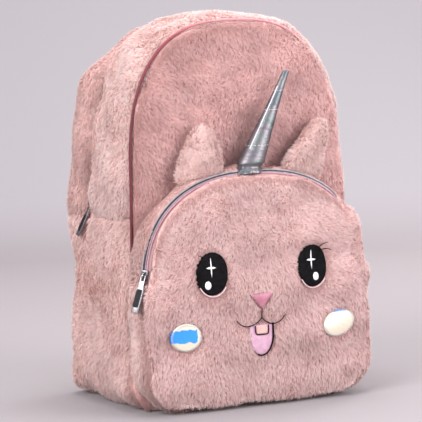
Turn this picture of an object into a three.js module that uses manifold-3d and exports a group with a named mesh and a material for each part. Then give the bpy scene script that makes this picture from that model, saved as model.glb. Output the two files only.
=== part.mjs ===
// A plush backpack with an animal face: a zipped main bag, a zipped front pocket that is the face,
// two stuffed ears, a stuffed horn, embroidered patches, shoulder straps and a carry loop.
// Millimetres. +Z is up, the face looks along -Y, and the origin is the middle of the base.
import * as THREE from "three";
import { mergeVertices } from "three/addons/utils/BufferGeometryUtils.js";
import Module from "manifold-3d";

const wasm = await Module();
wasm.setup();

// Cloth and clearances
const WALL = 6; // padded plush cloth, backing, foam and half of its pile
const GAP = 0.3; // left between pieces that are sewn or set together

// Main bag, measured at its seams
const BAG_WIDTH = 252;
const BAG_SHOULDER_WIDTH = 241;
const BAG_HEIGHT = 397;
const BAG_SPRING = 240; // height where the straight sides turn into the arch
const BAG_DEPTH = 150;
const BAG_CORNER = 28;
const BAG_ROUNDNESS = 2.6; // power of the arch, 2 is an ellipse
const FRONT_BAND_DEPTH = 96; // from the front seam to the main zip
const SIDE_PUFF = 14; // how far a gusset swells past its seams at the sides
const FRONT_TOP_PUFF = 10; // and the front one at the top
const REAR_TOP_PUFF = 5; // and the rear one, whose top sags
const SEAM_FULLNESS = 4; // power of the swelling, larger is fuller beside the seams
const FRONT_CROWN = 9;
const BACK_CROWN = 5;

// Front piping and main zip
const PIPING_RADIUS = 1.9;
const PIPING_SET = 1.2; // how far the piping lies in front of its seam
const PIPING_END = 6; // height where the piping ends at the lower corners
const SET_IN = 1.5; // how far a sewn-on piece reaches into what it is then trimmed by
const MAIN_ZIP_END = 200; // height where the zip stops on both sides
const MAIN_ZIP_WIDTH = 4.4;
const MAIN_ZIP_THICKNESS = 3.5;
const SLIT_DEPTH = 5.5; // how far the cloth sinks where the zip runs
const ZIP_END_HOLLOW = 8; // how far the lower gusset is drawn in where the zip ends
const ZIP_END_HOLLOW_HEIGHT = 26;
const ZIP_END_HOLLOW_WIDTH = 16;

// Front pocket
const POCKET_OVERHANG = 5; // how much wider the pocket is than the bag
const POCKET_SHOULDER_OVERHANG = 14; // and at the foot of its arch
const POCKET_HEIGHT = 244;
const POCKET_SPRING = 124;
const POCKET_CORNER = 42;
const POCKET_ROUNDNESS = 2.4;
const POCKET_FLOOR = 3; // height of the pocket's underside
const POCKET_DEPTH = 38; // from the front seam of the bag to the rim of the face
const POCKET_PUFF = 5;
const POCKET_TAPER = 6; // how far its sides draw in towards the bag
const FACE_CROWN = 7;
const POCKET_ZIP_WIDTH = 9; // across its slope, with what the face's rim covers
const POCKET_ZIP_THICKNESS = 2;
const POCKET_ZIP_END = 134;
const POCKET_ZIP_CLEARANCE = 0.4;

// Ears and horn
const EAR_HEIGHT = 52;
const EAR_WIDTH = 45;
const EAR_THICKNESS = 17;
const EAR_PLACE = 57; // sideways from the middle of the face
const EAR_TURN = 8; // degrees that each ear is turned towards the side
const LEFT_EAR_LEAN = -4; // degrees away from the middle
const RIGHT_EAR_LEAN = 18;
const HORN_LENGTH = 97;
const HORN_RADIUS = 15;
const HORN_TIP_RADIUS = 4.2;
const HORN_FLATNESS = 0.74; // its depth as a share of its width
const HORN_LEAN = 26.4; // degrees towards +X
const HORN_PLACE = -3;
const HORN_FOLDS = 5;
const HORN_FOLD_DEPTH = 1.3;
const HORN_SKIRT = 10; // height of the gathered foot under the lowest winding

// Patches
const PATCH_THICKNESS = 1.4;
const EYE_WIDTH = 33;
const EYE_HEIGHT = 46;
const GLINT_WIDTH = 6.5;
const GLINT_HEIGHT = 8.6;
const STAR_WIDTH = 11;
const STAR_HEIGHT = 20;
const STAR_WAIST = 1.5;
const STAR_RISE = 0.13; // share of the eye's height above its middle
const GLINT_DROP = 0.25;
const GLINT_SIDE = 0.13;
const EYE_LIFT = PATCH_THICKNESS + GAP;
const NOSE_WIDTH = 24;
const NOSE_HEIGHT = 15;
const TONGUE_WIDTH = 26;
const TONGUE_HEIGHT = 31;
const CHEEK_WIDTH = 33;
const CHEEK_HEIGHT = 28;

// Sliders and pulls
const SLIDER_WIDTH = 7;
const SLIDER_LENGTH = 11;
const SLIDER_THICKNESS = 2.6;
const SLIDER_RISE = 4.5; // of the main slider's underside over the bag's seam line
const SLIDER_SEAT = 0.95; // of the pocket slider's underside over its zip
const KEEL_WIDTH = 3;
const KEEL_LENGTH = 7;
const BRIDGE_OUTER = 3.9;
const BRIDGE_INNER = 2.3;
const BRIDGE_THICKNESS = 1.6;
const PULL_THICKNESS = 1.6;
const PULL_WIDTH = 7.6;
const PULL_LENGTH = 38;
const PULL_NECK_LENGTH = 13;
const PULL_NECK_WIDTH = 5.4;
const EYE_SLOT_WIDTH = 2.8;
const EYE_SLOT_START = 0.9;
const EYE_SLOT_END = 5.2;
const MAIN_PULL_TILT = 22; // degrees that a pull hangs away from the cloth
const MAIN_PULL_TURN = 14; // degrees that a slider is turned on its zip
const POCKET_PULL_TILT = 17;
const POCKET_PULL_TURN = 10;
const PIVOT_CLEARANCE = 1.6; // from a slider's top to the middle of its pull's bar
const BRIDGE_SPREAD = 0.75; // how far a bridge's legs pass a half circle, in radians

// Straps and loop
const STRAP_WIDTH = 52;
const STRAP_THICKNESS = 9;
const STRAP_DROP = 55; // of the straps' upper ends below the top of the back
const STRAP_LENGTH = 200; // along the height, down to its lock
const STRAP_SPREAD = 6; // how far a strap bows sideways between its ends
const STRAP_PLACE = 52;
const STRAP_BOW = 34; // how far the strap stands off the back
const WEB_WIDTH = 25;
const WEB_THICKNESS = 1.8;
const WEB_FOOT = 24; // height where the web is sewn into the lower corner
const WEB_FOOT_PLACE = 84;
const WEB_TAIL = 52;
const WEB_TURN = 3.2; // height of the web's turn over the lock's bar
const WEB_ROOT = 14; // height over which the web lies close to the back
const WEB_ROOT_RISE = 3; // how far it leaves the back there
const LOCK_WIDTH = 34;
const LOCK_HEIGHT = 22;
const LOCK_THICKNESS = 3.4;
const LOCK_BAR = 4;
const LOOP_SPAN = 84;
const LOOP_BOW = 26;
const LOOP_TAB = 10; // length sewn flat to the back at each end
const LOOP_WIDTH = 22;
const LOOP_THICKNESS = 4;
const LOOP_DROP = 27; // of the loop below the top of the back

const POCKET_WIDTH = BAG_WIDTH + POCKET_OVERHANG;
const POCKET_SHOULDER_WIDTH = BAG_SHOULDER_WIDTH + POCKET_SHOULDER_OVERHANG;
const PIVOT_HEIGHT = SLIDER_THICKNESS + PIVOT_CLEARANCE;
const STRAP_TOP = BAG_HEIGHT - STRAP_DROP;
const STRAP_BOTTOM = STRAP_TOP - STRAP_LENGTH;
const LOOP_TOP = BAG_HEIGHT - LOOP_DROP;
const POCKET_ZIP_RUN = POCKET_ZIP_WIDTH * Math.SQRT1_2; // its width along each way it slopes
const FACE_INSET = POCKET_ZIP_RUN - SET_IN;

const degrees = Math.PI / 180;
const mix = THREE.MathUtils.lerp;
const clamp = THREE.MathUtils.clamp;

// An arched outline seen from the front. It starts at the middle of the base, goes up the side at -X,
// over the top and back down, and gives its place and outward normal at any distance along it.
class Arch {
  constructor({ width, shoulder, height, spring, corner, roundness, floor = 0 }) {
    const half = [];
    const cornerSteps = 12;
    const archSteps = 60;
    half.push([0, floor]);
    for (let i = 0; i <= cornerSteps; i++) {
      const turn = (i / cornerSteps) * (Math.PI / 2);
      half.push([
        -(width / 2 - corner) - corner * Math.sin(turn),
        floor + corner - corner * Math.cos(turn),
      ]);
    }
    for (let i = 0; i <= archSteps; i++) {
      const turn = (i / archSteps) * (Math.PI / 2);
      half.push([
        (-shoulder / 2) * Math.cos(turn) ** (2 / roundness),
        spring + (height - spring) * Math.sin(turn) ** (2 / roundness),
      ]);
    }
    const other = half.slice(1, -1).reverse().map(([x, z]) => [-x, z]);
    this.points = [...half, ...other, [0, floor]];
    this.reach = [0];
    for (let i = 1; i < this.points.length; i++) {
      const [ax, az] = this.points[i - 1];
      const [bx, bz] = this.points[i];
      this.reach.push(this.reach[i - 1] + Math.hypot(bx - ax, bz - az));
    }
    this.length = this.reach.at(-1);
    this.middle = [0, floor + (height - floor) * 0.46];
    this.measure = [0];
    for (let i = 1; i < this.points.length; i++) {
      const a = this.at(this.reach[i - 1]);
      const b = this.at(this.reach[i]);
      const turn = Math.hypot(b.nx - a.nx, b.nz - a.nz);
      this.measure.push(this.measure[i - 1] + (this.reach[i] - this.reach[i - 1]) / height + turn);
    }
  }

  // Distances from one place to another, closer together where the outline turns.
  spread(from, to, steps) {
    const total = this.measure.at(-1);
    const look = (list, other, value) => {
      let i = 1;
      while (i < list.length - 1 && list[i] < value) i++;
      const share = (value - list[i - 1]) / (list[i] - list[i - 1] || 1);
      return mix(other[i - 1], other[i], share);
    };
    const turns = (distance) => Math.floor(distance / this.length);
    const measureOf = (distance) =>
      turns(distance) * total +
      look(this.reach, this.measure, distance - turns(distance) * this.length);
    const distanceOf = (value) => {
      const round = Math.floor(value / total);
      return round * this.length + look(this.measure, this.reach, value - round * total);
    };
    return Array.from({ length: steps + 1 }, (_, i) =>
      distanceOf(mix(measureOf(from), measureOf(to), i / steps)),
    );
  }

  place(distance) {
    const s = ((distance % this.length) + this.length) % this.length;
    let i = 1;
    while (this.reach[i] < s) i++;
    const share = (s - this.reach[i - 1]) / (this.reach[i] - this.reach[i - 1] || 1);
    return [
      mix(this.points[i - 1][0], this.points[i][0], share),
      mix(this.points[i - 1][1], this.points[i][1], share),
    ];
  }

  at(distance) {
    const step = 1.5;
    const [x, z] = this.place(distance);
    const [ax, az] = this.place(distance - step);
    const [bx, bz] = this.place(distance + step);
    const long = Math.hypot(bx - ax, bz - az);
    return { x, z, nx: -(bz - az) / long, nz: (bx - ax) / long };
  }

  // Distance along the outline to a height on the side at -X.
  distanceAt(height) {
    let i = 1;
    while (this.points[i][1] < height) i++;
    const [, low] = this.points[i - 1];
    const [, high] = this.points[i];
    return mix(this.reach[i - 1], this.reach[i], (height - low) / (high - low));
  }

  // Height of the outline's top, grown by offset, at a sideways place.
  topAt(x, offset) {
    const start = this.length * 0.25;
    const count = 160;
    let before = null;
    for (let i = 0; i <= count; i++) {
      const p = this.at(mix(start, this.length - start, i / count));
      const here = [p.x + p.nx * offset, p.z + p.nz * offset];
      if (before && before[0] <= x && here[0] >= x)
        return mix(before[1], here[1], (x - before[0]) / (here[0] - before[0] || 1));
      before = here;
    }
    return before[1];
  }

  // 0 at the middle, 1 on the outline and in between along a straight ray.
  shareOf(x, z) {
    const dx = x - this.middle[0];
    const dz = z - this.middle[1];
    if (Math.hypot(dx, dz) < 1e-6) return 0;
    for (let i = 1; i < this.points.length; i++) {
      const ax = this.points[i - 1][0] - this.middle[0];
      const az = this.points[i - 1][1] - this.middle[1];
      const ex = this.points[i][0] - this.points[i - 1][0];
      const ez = this.points[i][1] - this.points[i - 1][1];
      const cross = dx * ez - dz * ex;
      if (Math.abs(cross) < 1e-12) continue;
      const ray = (ax * ez - az * ex) / cross;
      const side = (ax * dz - az * dx) / cross;
      if (ray > 0 && side >= -1e-9 && side <= 1 + 1e-9) return 1 / ray;
    }
    return 1;
  }
}

const bagArch = new Arch({
  width: BAG_WIDTH,
  shoulder: BAG_SHOULDER_WIDTH,
  height: BAG_HEIGHT,
  spring: BAG_SPRING,
  corner: BAG_CORNER,
  roundness: BAG_ROUNDNESS,
});
const pocketArch = new Arch({
  width: POCKET_WIDTH,
  shoulder: POCKET_SHOULDER_WIDTH,
  height: POCKET_HEIGHT,
  spring: POCKET_SPRING,
  corner: POCKET_CORNER,
  roundness: POCKET_ROUNDNESS,
  floor: POCKET_FLOOR,
});

const FRONT_SEAM = -BAG_DEPTH / 2;
const BACK_SEAM = BAG_DEPTH / 2;
const MAIN_ZIP_MIDDLE = FRONT_SEAM + FRONT_BAND_DEPTH;
const FACE_RIM = FRONT_SEAM - POCKET_DEPTH;
const HEADGEAR_MIDDLE = mix(FRONT_SEAM - WALL / 2 - FRONT_CROWN, FACE_RIM, 0.5);

// Turns triangles given as corner triples into one closed geometry.
function solid(triangles) {
  const corners = triangles.flat();
  const geometry = new THREE.BufferGeometry().setFromPoints(corners);
  return mergeVertices(geometry, 1e-4);
}

function quad(a, b, c, d) {
  return [
    [a, b, c],
    [a, c, d],
  ];
}

// A closed solid through sections that are rings of equal count. Each ring's first half runs along one
// face and its second half back along the other, so its ends close as a ladder between the two.
function sweep(rings) {
  const triangles = [];
  for (let i = 0; i + 1 < rings.length; i++) {
    const a = rings[i];
    const b = rings[i + 1];
    for (let k = 0; k < a.length; k++) {
      const next = (k + 1) % a.length;
      triangles.push(...quad(a[k], a[next], b[next], b[k]));
    }
  }
  const first = rings[0];
  const final = rings.at(-1);
  for (let k = 0; k < first.length / 2 - 1; k++) {
    const far = first.length - 1 - k;
    triangles.push(...quad(first[k], first[far], first[far - 1], first[k + 1]));
    triangles.push(...quad(final[k], final[k + 1], final[far - 1], final[far]));
  }
  return facingOut(triangles);
}

// A closed solid through rings between two single points.
function dome(start, rings, end) {
  const triangles = [];
  const count = rings[0].length;
  for (let k = 0; k < count; k++) {
    const next = (k + 1) % count;
    triangles.push([start, rings[0][next], rings[0][k]]);
    for (let i = 0; i + 1 < rings.length; i++)
      triangles.push(
        ...quad(rings[i][k], rings[i][next], rings[i + 1][next], rings[i + 1][k]),
      );
    triangles.push([end, rings.at(-1)[k], rings.at(-1)[next]]);
  }
  return facingOut(triangles);
}

function facingOut(triangles) {
  let volume = 0;
  const drop = new THREE.Vector3();
  const kept = triangles.filter(
    ([a, b, c]) =>
      a.distanceTo(b) > 1e-4 && b.distanceTo(c) > 1e-4 && c.distanceTo(a) > 1e-4,
  );
  for (const [a, b, c] of kept) volume += a.dot(drop.crossVectors(b, c));
  return solid(volume < 0 ? kept.map(([a, b, c]) => [a, c, b]) : kept);
}

// Swelling across a band of cloth: 0 at both seams and 1 over most of its width.
function pillow(share, power = 2.6) {
  return 1 - Math.abs(2 * share - 1) ** power;
}

function hump(value, middle, width) {
  return Math.exp(-(((value - middle) / width) ** 2));
}

// A band of cloth along part of an arch. section(place, side) gives the offset from the arch on a side.
function band(arch, from, to, steps, across, section) {
  const rings = arch.spread(from, to, steps).map((distance) => {
    const p = arch.at(distance);
    const outer = [];
    const inner = [];
    for (let k = 0; k <= across; k++) {
      const { offset, y, wall = WALL } = section(p, k / across);
      outer.push(new THREE.Vector3(p.x + p.nx * offset, y, p.z + p.nz * offset));
      const deep = offset - wall;
      inner.push(new THREE.Vector3(p.x + p.nx * deep, y, p.z + p.nz * deep));
    }
    return [...outer, ...inner.reverse()];
  });
  return sweep(rings);
}

// A padded plate inside an arch, from its middle out to the rim and back to the middle behind.
function panel(arch, inset, count, shares, frontOf, backOf) {
  const rim = arch.spread(0, arch.length, count).slice(0, count).map((distance) => {
    const p = arch.at(distance);
    return [p.x - p.nx * inset, p.z - p.nz * inset];
  });
  const [mx, mz] = arch.middle;
  const ring = (share, depthOf) =>
    rim.map(([x, z]) => {
      const px = mix(mx, x, share);
      const pz = mix(mz, z, share);
      return new THREE.Vector3(px, depthOf(px, pz), pz);
    });
  const rings = [
    ...shares.map((share) => ring(share, frontOf)),
    ...[...shares].reverse().map((share) => ring(share, backOf)),
  ];
  const point = (depthOf) => new THREE.Vector3(mx, depthOf(mx, mz), mz);
  return dome(point(frontOf), rings, point(backOf));
}

const slots = {
  plush: { color: 0xe3aaa8, roughness: 0.95, metalness: 0 },
  piping: { color: 0xb8566e, roughness: 0.35, metalness: 0 },
  lining: { color: 0x7a3a44, roughness: 0.8, metalness: 0 },
  zip: { color: 0xc4c2c8, roughness: 0.35, metalness: 0.6 },
  metal: { color: 0xc8c8cc, roughness: 0.15, metalness: 1 },
  silver: { color: 0xb8c2c6, roughness: 0.25, metalness: 0.8 },
  black: { color: 0x141416, roughness: 0.7, metalness: 0 },
  white: { color: 0xf4f2f4, roughness: 0.5, metalness: 0 },
  nose: { color: 0xcf6f9a, roughness: 0.4, metalness: 0 },
  tongue: { color: 0xe59bcb, roughness: 0.5, metalness: 0 },
  cheek: { color: 0xe9e2d2, roughness: 0.15, metalness: 0.4 },
  web: { color: 0xd89a9c, roughness: 0.8, metalness: 0 },
  plastic: { color: 0xe0a4a6, roughness: 0.4, metalness: 0 },
};
const materials = Object.fromEntries(
  Object.entries(slots).map(([name, look]) => [name, new THREE.MeshStandardMaterial(look)]),
);

const backpack = new THREE.Group();

function add(name, geometry, slot, parent = backpack) {
  const mesh = new THREE.Mesh(geometry, materials[slot]);
  mesh.name = name;
  parent.add(mesh);
  return mesh;
}

// Main bag

// Folds of the bag's gussets: place up the outline and across the depth, size and depth of each. A
// negative depth is a swelling.
const GUSSET_FOLDS = [
  { side: -1, high: 0.39, back: 0.86, tall: 0.07, wide: 0.1, deep: 2.6 },
  { side: -1, high: 0.3, back: 0.71, tall: 0.07, wide: 0.1, deep: 3.4 },
  { side: -1, high: 0.17, back: 0.6, tall: 0.1, wide: 0.1, deep: 3.6 },
  { side: -1, high: 0.12, back: 0.82, tall: 0.1, wide: 0.2, deep: -5 },
  { side: -1, high: 0.72, back: 0.36, tall: 0.2, wide: 0.07, deep: 2.2 },
  { side: 1, high: 0.36, back: 0.55, tall: 0.16, wide: 0.14, deep: 3 },
  { side: 1, high: 0.66, back: 0.3, tall: 0.18, wide: 0.08, deep: 2 },
];

function gussetFold(p, y) {
  const back = (y - FRONT_SEAM) / BAG_DEPTH;
  const high = p.z / BAG_HEIGHT;
  return GUSSET_FOLDS.filter((fold) => Math.sign(p.x) === fold.side).reduce(
    (sum, fold) =>
      sum + fold.deep * hump(high, fold.high, fold.tall) * hump(back, fold.back, fold.wide),
    0,
  );
}

// The gussets lie flat under the bag and swell at its sides and top.
function gussetSection(from, to, sinkFrom, sinkTo, topPuff) {
  return (p, share) => {
    const y = mix(from, to, share);
    const freedom = clamp(1 + p.nz, 0, 1);
    const puff = mix(SIDE_PUFF, topPuff, clamp(p.nz, 0, 1));
    const full = pillow(share, SEAM_FULLNESS);
    const edge = Math.abs(2 * share - 1) ** (2 * SEAM_FULLNESS);
    const sink = edge * (share < 0.5 ? sinkFrom : sinkTo);
    return { offset: freedom * ((puff - gussetFold(p, y)) * full - sink), y };
  };
}

function mainBag() {
  const zipStart = bagArch.distanceAt(MAIN_ZIP_END);
  const zipFinish = bagArch.length - zipStart;
  const halfSlit = MAIN_ZIP_WIDTH / 2 + GAP;
  const rimGap = GAP / 2;

  add(
    "front_gusset",
    band(
      bagArch,
      zipStart + GAP,
      zipFinish - GAP,
      32,
      5,
      gussetSection(
        FRONT_SEAM + rimGap,
        MAIN_ZIP_MIDDLE - halfSlit,
        0,
        SLIT_DEPTH,
        FRONT_TOP_PUFF,
      ),
    ),
    "plush",
  );
  add(
    "rear_gusset",
    band(
      bagArch,
      zipStart + GAP,
      zipFinish - GAP,
      32,
      4,
      gussetSection(MAIN_ZIP_MIDDLE + halfSlit, BACK_SEAM - rimGap, SLIT_DEPTH, 0, REAR_TOP_PUFF),
    ),
    "plush",
  );
  const underLength = 2 * zipStart;
  const under = gussetSection(FRONT_SEAM + rimGap, BACK_SEAM - rimGap, 0, 0, SIDE_PUFF);
  add(
    "lower_gusset",
    band(
      bagArch,
      bagArch.length - zipStart,
      bagArch.length - zipStart + underLength,
      34,
      7,
      (p, share) => {
        const section = under(p, share);
        const nearZip =
          hump(p.z, MAIN_ZIP_END, ZIP_END_HOLLOW_HEIGHT) *
          hump(section.y, MAIN_ZIP_MIDDLE, ZIP_END_HOLLOW_WIDTH);
        return { ...section, offset: section.offset - ZIP_END_HOLLOW * nearZip };
      },
    ),
    "plush",
  );
  add(
    "main_zip",
    band(bagArch, zipStart + GAP, zipFinish - GAP, 32, 1, (p, share) => ({
      offset: -SLIT_DEPTH - 1,
      y: MAIN_ZIP_MIDDLE + (share - 0.5) * MAIN_ZIP_WIDTH,
      wall: MAIN_ZIP_THICKNESS - 1,
    })),
    "lining",
  );
}

// Hollows of the front panel beside the ears and the horn.
const FRONT_HOLLOWS = [
  { across: -0.3, high: 0.56, wide: 0.16, tall: 0.1, deep: 4 },
  { across: -0.06, high: 0.66, wide: 0.1, tall: 0.14, deep: 2.5 },
  { across: 0.22, high: 0.78, wide: 0.14, tall: 0.08, deep: 2.5 },
];

function frontOfBag(x, z) {
  const share = bagArch.shareOf(x, z);
  const hollow = FRONT_HOLLOWS.reduce(
    (sum, h) =>
      sum +
      h.deep * hump(x / BAG_WIDTH, h.across, h.wide) * hump(z / BAG_HEIGHT, h.high, h.tall),
    0,
  );
  const rise = 1 - share ** 5;
  return FRONT_SEAM - WALL / 2 - rise * (FRONT_CROWN - hollow);
}

function bagPanels() {
  const shares = [0.4, 0.7, 0.9, 1];
  const rimGap = GAP / 2;
  const frontPanel = add(
    "front_panel",
    panel(bagArch, 0, 48, shares, frontOfBag, (x, z) => {
      const share = bagArch.shareOf(x, z);
      const thick = mix(WALL, WALL / 2 - rimGap, share ** 5);
      return frontOfBag(x, z) + thick;
    }),
    "plush",
  );
  const backOf = (x, z) =>
    BACK_SEAM + WALL / 2 + BACK_CROWN * (1 - bagArch.shareOf(x, z) ** 4);
  const backPanel = add(
    "back_panel",
    panel(bagArch, 0, 40, shares, backOf, (x, z) => {
      const thick = mix(WALL, WALL / 2 - rimGap, bagArch.shareOf(x, z) ** 5);
      return backOf(x, z) - thick;
    }),
    "plush",
  );
  const sides = 6;
  const steps = 56;
  const start = bagArch.distanceAt(PIPING_END);
  const rings = bagArch.spread(start, bagArch.length - start, steps).map((distance) => {
    const p = bagArch.at(distance);
    const ring = [];
    for (let k = 0; k < sides; k++) {
      const turn = ((k + 0.5) / sides) * 2 * Math.PI;
      const offset = PIPING_RADIUS * (1 + Math.cos(turn)) + 2 * GAP;
      const y = FRONT_SEAM - PIPING_SET + PIPING_RADIUS * Math.sin(turn);
      ring.push(new THREE.Vector3(p.x + p.nx * offset, y, p.z + p.nz * offset));
    }
    return ring;
  });
  add("front_piping", sweep(rings), "piping");
  return { frontPanel, backPanel };
}

// Front pocket

// Folds of the face: the pinch at a lower corner, and the shallow muzzle round the mouth.
const FACE_FOLDS = [
  { across: 0.4, high: 0.22, wide: 0.05, tall: 0.09, deep: 3 },
  { across: -0.42, high: 0.2, wide: 0.05, tall: 0.1, deep: 3 },
  { across: 0.02, high: 0.3, wide: 0.08, tall: 0.05, deep: 2 },
];

function frontOfFace(x, z) {
  const share = pocketArch.shareOf(x, z);
  const fold = FACE_FOLDS.reduce(
    (sum, f) =>
      sum +
      f.deep * hump(x / POCKET_WIDTH, f.across, f.wide) * hump(z / POCKET_HEIGHT, f.high, f.tall),
    0,
  );
  const rise = Math.max(0, 1 - share ** 2.6);
  return FACE_RIM - WALL / 2 - rise * FACE_CROWN + fold * Math.min(1, 4 * rise * rise);
}

function pocket(frontPanel) {
  const zipStart = pocketArch.distanceAt(POCKET_ZIP_END);
  const zipFinish = pocketArch.length - zipStart;
  const shares = [0.28, 0.5, 0.7, 0.88, 1];
  const face = add(
    "pocket_face",
    panel(pocketArch, FACE_INSET, 48, shares, frontOfFace, (x, z) => {
      const thick = mix(WALL, WALL / 2, pocketArch.shareOf(x, z) ** 6);
      return frontOfFace(x, z) + thick;
    }),
    "plush",
  );

  // The zip is a sloping strip from the gusset's front edge in to the rim of the face.
  const faceEdge = FACE_RIM + 2 * GAP;
  const gussetEdge = faceEdge + POCKET_ZIP_RUN;
  const backEdge = (p, offset) => frontOfBag(p.x + p.nx * offset, p.z + p.nz * offset) + SET_IN;
  const gusset = (front, shoulder) => (p, share) => {
    const freedom = clamp(1 + p.nz, 0, 1);
    const turnIn = shoulder * clamp(1 - 4 * share, 0, 1);
    const taper = POCKET_TAPER * share * (1 - clamp(p.nz, 0, 1));
    const offset = freedom * POCKET_PUFF * pillow(share) - turnIn - taper;
    return { offset, y: mix(front, Math.min(backEdge(p, 0), backEdge(p, -WALL)), share) };
  };
  const top = band(pocketArch, zipStart + GAP, zipFinish - GAP, 30, 3, gusset(gussetEdge, 0));
  const lower = band(
    pocketArch,
    zipFinish,
    pocketArch.length + zipStart,
    32,
    4,
    gusset(faceEdge, FACE_INSET - SET_IN),
  );
  const topGusset = add("pocket_top_gusset", trim(top, frontPanel, 0, -GAP, 0), "plush");
  add("pocket_lower_gusset", trim(lower, frontPanel, 0, -GAP, 0), "plush");
  add(
    "pocket_zip",
    band(pocketArch, zipStart + 2 * GAP, zipFinish - 2 * GAP, 36, 1, (p, share) => ({
      offset: mix(-POCKET_ZIP_RUN, 0, share),
      y: mix(faceEdge, gussetEdge - POCKET_ZIP_CLEARANCE, share),
      wall: POCKET_ZIP_THICKNESS,
    })),
    "zip",
  );
  return { face, topGusset };
}

// Ears and horn

// An ear's outline and thickness up its height, as shares of its width and thickness.
const EAR_SECTIONS = [
  { high: 0, wide: 0.74, thick: 0.75, lean: 0 },
  { high: 0.2, wide: 0.94, thick: 1, lean: 0 },
  { high: 0.42, wide: 1, thick: 1, lean: 0.01 },
  { high: 0.64, wide: 0.85, thick: 0.86, lean: 0.03 },
  { high: 0.83, wide: 0.58, thick: 0.66, lean: 0.06 },
  { high: 0.95, wide: 0.3, thick: 0.4, lean: 0.08 },
];

function ear(side, leanOut) {
  const count = 14;
  const foot = new THREE.Vector3(side * EAR_PLACE, HEADGEAR_MIDDLE, 0);
  const offset = POCKET_PUFF - SET_IN;
  const axis = new THREE.Vector3(0, 0, 1);
  const leaned = (point, high) => {
    const base = pocketArch.topAt(point.x, offset);
    const seated = Math.min(1, high * 4);
    const rise = point.z + mix(base, pocketArch.topAt(foot.x, offset), seated);
    const swing = Math.tan(leanOut * degrees) * point.z * side;
    return new THREE.Vector3(point.x + swing, point.y, rise);
  };
  const rings = EAR_SECTIONS.map((section) => {
    const ring = [];
    for (let k = 0; k < count; k++) {
      const angle = (k / count) * 2 * Math.PI;
      const flat = new THREE.Vector3(
        (EAR_WIDTH / 2) * section.wide * Math.cos(angle),
        (EAR_THICKNESS / 2) * section.thick * Math.sin(angle),
        0,
      ).applyAxisAngle(axis, EAR_TURN * degrees * side);
      flat.add(foot);
      flat.x += side * section.lean * EAR_HEIGHT;
      flat.z = section.high * EAR_HEIGHT;
      ring.push(leaned(flat, section.high));
    }
    return ring;
  });
  const under = leaned(foot.clone(), 0);
  const top = foot.clone();
  top.z = EAR_HEIGHT;
  top.x += side * 0.09 * EAR_HEIGHT;
  return dome(under, rings, leaned(top, 1));
}

// The horn narrows evenly, is pinched by a winding thread and ends in a gathered foot.
function horn() {
  const count = 12;
  const steps = 20;
  const y = HEADGEAR_MIDDLE;
  const base = pocketArch.topAt(HORN_PLACE, POCKET_PUFF - SET_IN);
  const lean = Math.tan(HORN_LEAN * degrees);
  const radiusAt = (share, angle) => {
    const even = mix(HORN_RADIUS, HORN_TIP_RADIUS, share);
    const winding = Math.abs(Math.sin(Math.PI * HORN_FOLDS * share + angle / 2));
    const above = clamp((share * HORN_LENGTH - HORN_SKIRT) / HORN_SKIRT, 0, 1);
    const foot = 1 - 0.12 * hump(share * HORN_LENGTH, HORN_SKIRT, HORN_SKIRT / 3);
    return (even - above * HORN_FOLD_DEPTH * (1 - winding ** 0.6)) * foot;
  };
  const rings = [];
  for (let i = 0; i <= steps; i++) {
    const share = i / steps;
    const high = share * HORN_LENGTH;
    const ring = [];
    for (let k = 0; k < count; k++) {
      const angle = (k / count) * 2 * Math.PI;
      const r = radiusAt(share, angle);
      const x = HORN_PLACE + r * Math.cos(angle) + high * lean;
      const seat = pocketArch.topAt(x, POCKET_PUFF - SET_IN) - base;
      const z = base + high + seat * clamp(1 - high / HORN_SKIRT, 0, 1);
      ring.push(new THREE.Vector3(x, y + HORN_FLATNESS * r * Math.sin(angle), z));
    }
    rings.push(ring);
  }
  const foot = new THREE.Vector3(HORN_PLACE, y, base);
  const cap = HORN_LENGTH + HORN_TIP_RADIUS / 2;
  const tip = new THREE.Vector3(HORN_PLACE + cap * lean, y, base + cap);
  return dome(foot, rings, tip);
}

function headgear(topGusset) {
  const seated = (geometry) => trim(geometry, topGusset, 0, 0, GAP);
  add("ear_left", seated(ear(-1, LEFT_EAR_LEAN)), "plush");
  add("ear_right", seated(ear(1, RIGHT_EAR_LEAN)), "plush");
  add("horn", seated(horn()), "silver");
}

// Patches on the face

// A thin patch that follows the face, from an outline in its own plane.
function patch(outline, x, z, lift = 0, turn = 0) {
  const c = Math.cos(turn * degrees);
  const s = Math.sin(turn * degrees);
  const around = outline.map(([u, v]) => [x + u * c - v * s, z + u * s + v * c]);
  const ring = (share, raise) =>
    around.map(([px, pz]) => {
      const qx = mix(x, px, share);
      const qz = mix(z, pz, share);
      return new THREE.Vector3(qx, frontOfFace(qx, qz) - raise, qz);
    });
  const low = lift - SET_IN * (lift ? 0.5 : 1);
  const high = lift + GAP + PATCH_THICKNESS;
  const point = (raise) => new THREE.Vector3(x, frontOfFace(x, z) - raise, z);
  return dome(point(high), [ring(0.55, high), ring(1, high), ring(1, low)], point(low));
}

function oval(width, height, count) {
  return Array.from({ length: count }, (_, i) => {
    const angle = (i / count) * 2 * Math.PI;
    return [(width / 2) * Math.cos(angle), (height / 2) * Math.sin(angle)];
  });
}

function star() {
  const corners = 8;
  return Array.from({ length: corners }, (_, i) => {
    const angle = (i / corners) * 2 * Math.PI;
    if (i % 2) return [STAR_WAIST * Math.cos(angle), STAR_WAIST * Math.sin(angle)];
    return [(STAR_WIDTH / 2) * Math.cos(angle), (STAR_HEIGHT / 2) * Math.sin(angle)];
  });
}

function triangle(width, height) {
  const corners = [
    [width / 2, height / 2],
    [-width / 2, height / 2],
    [0, -height / 2],
  ];
  return corners.flatMap((corner, i) => {
    const next = corners[(i + 1) % 3];
    return [0, 1 / 3, 2 / 3].map((t) => [mix(corner[0], next[0], t), mix(corner[1], next[1], t)]);
  });
}

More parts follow.
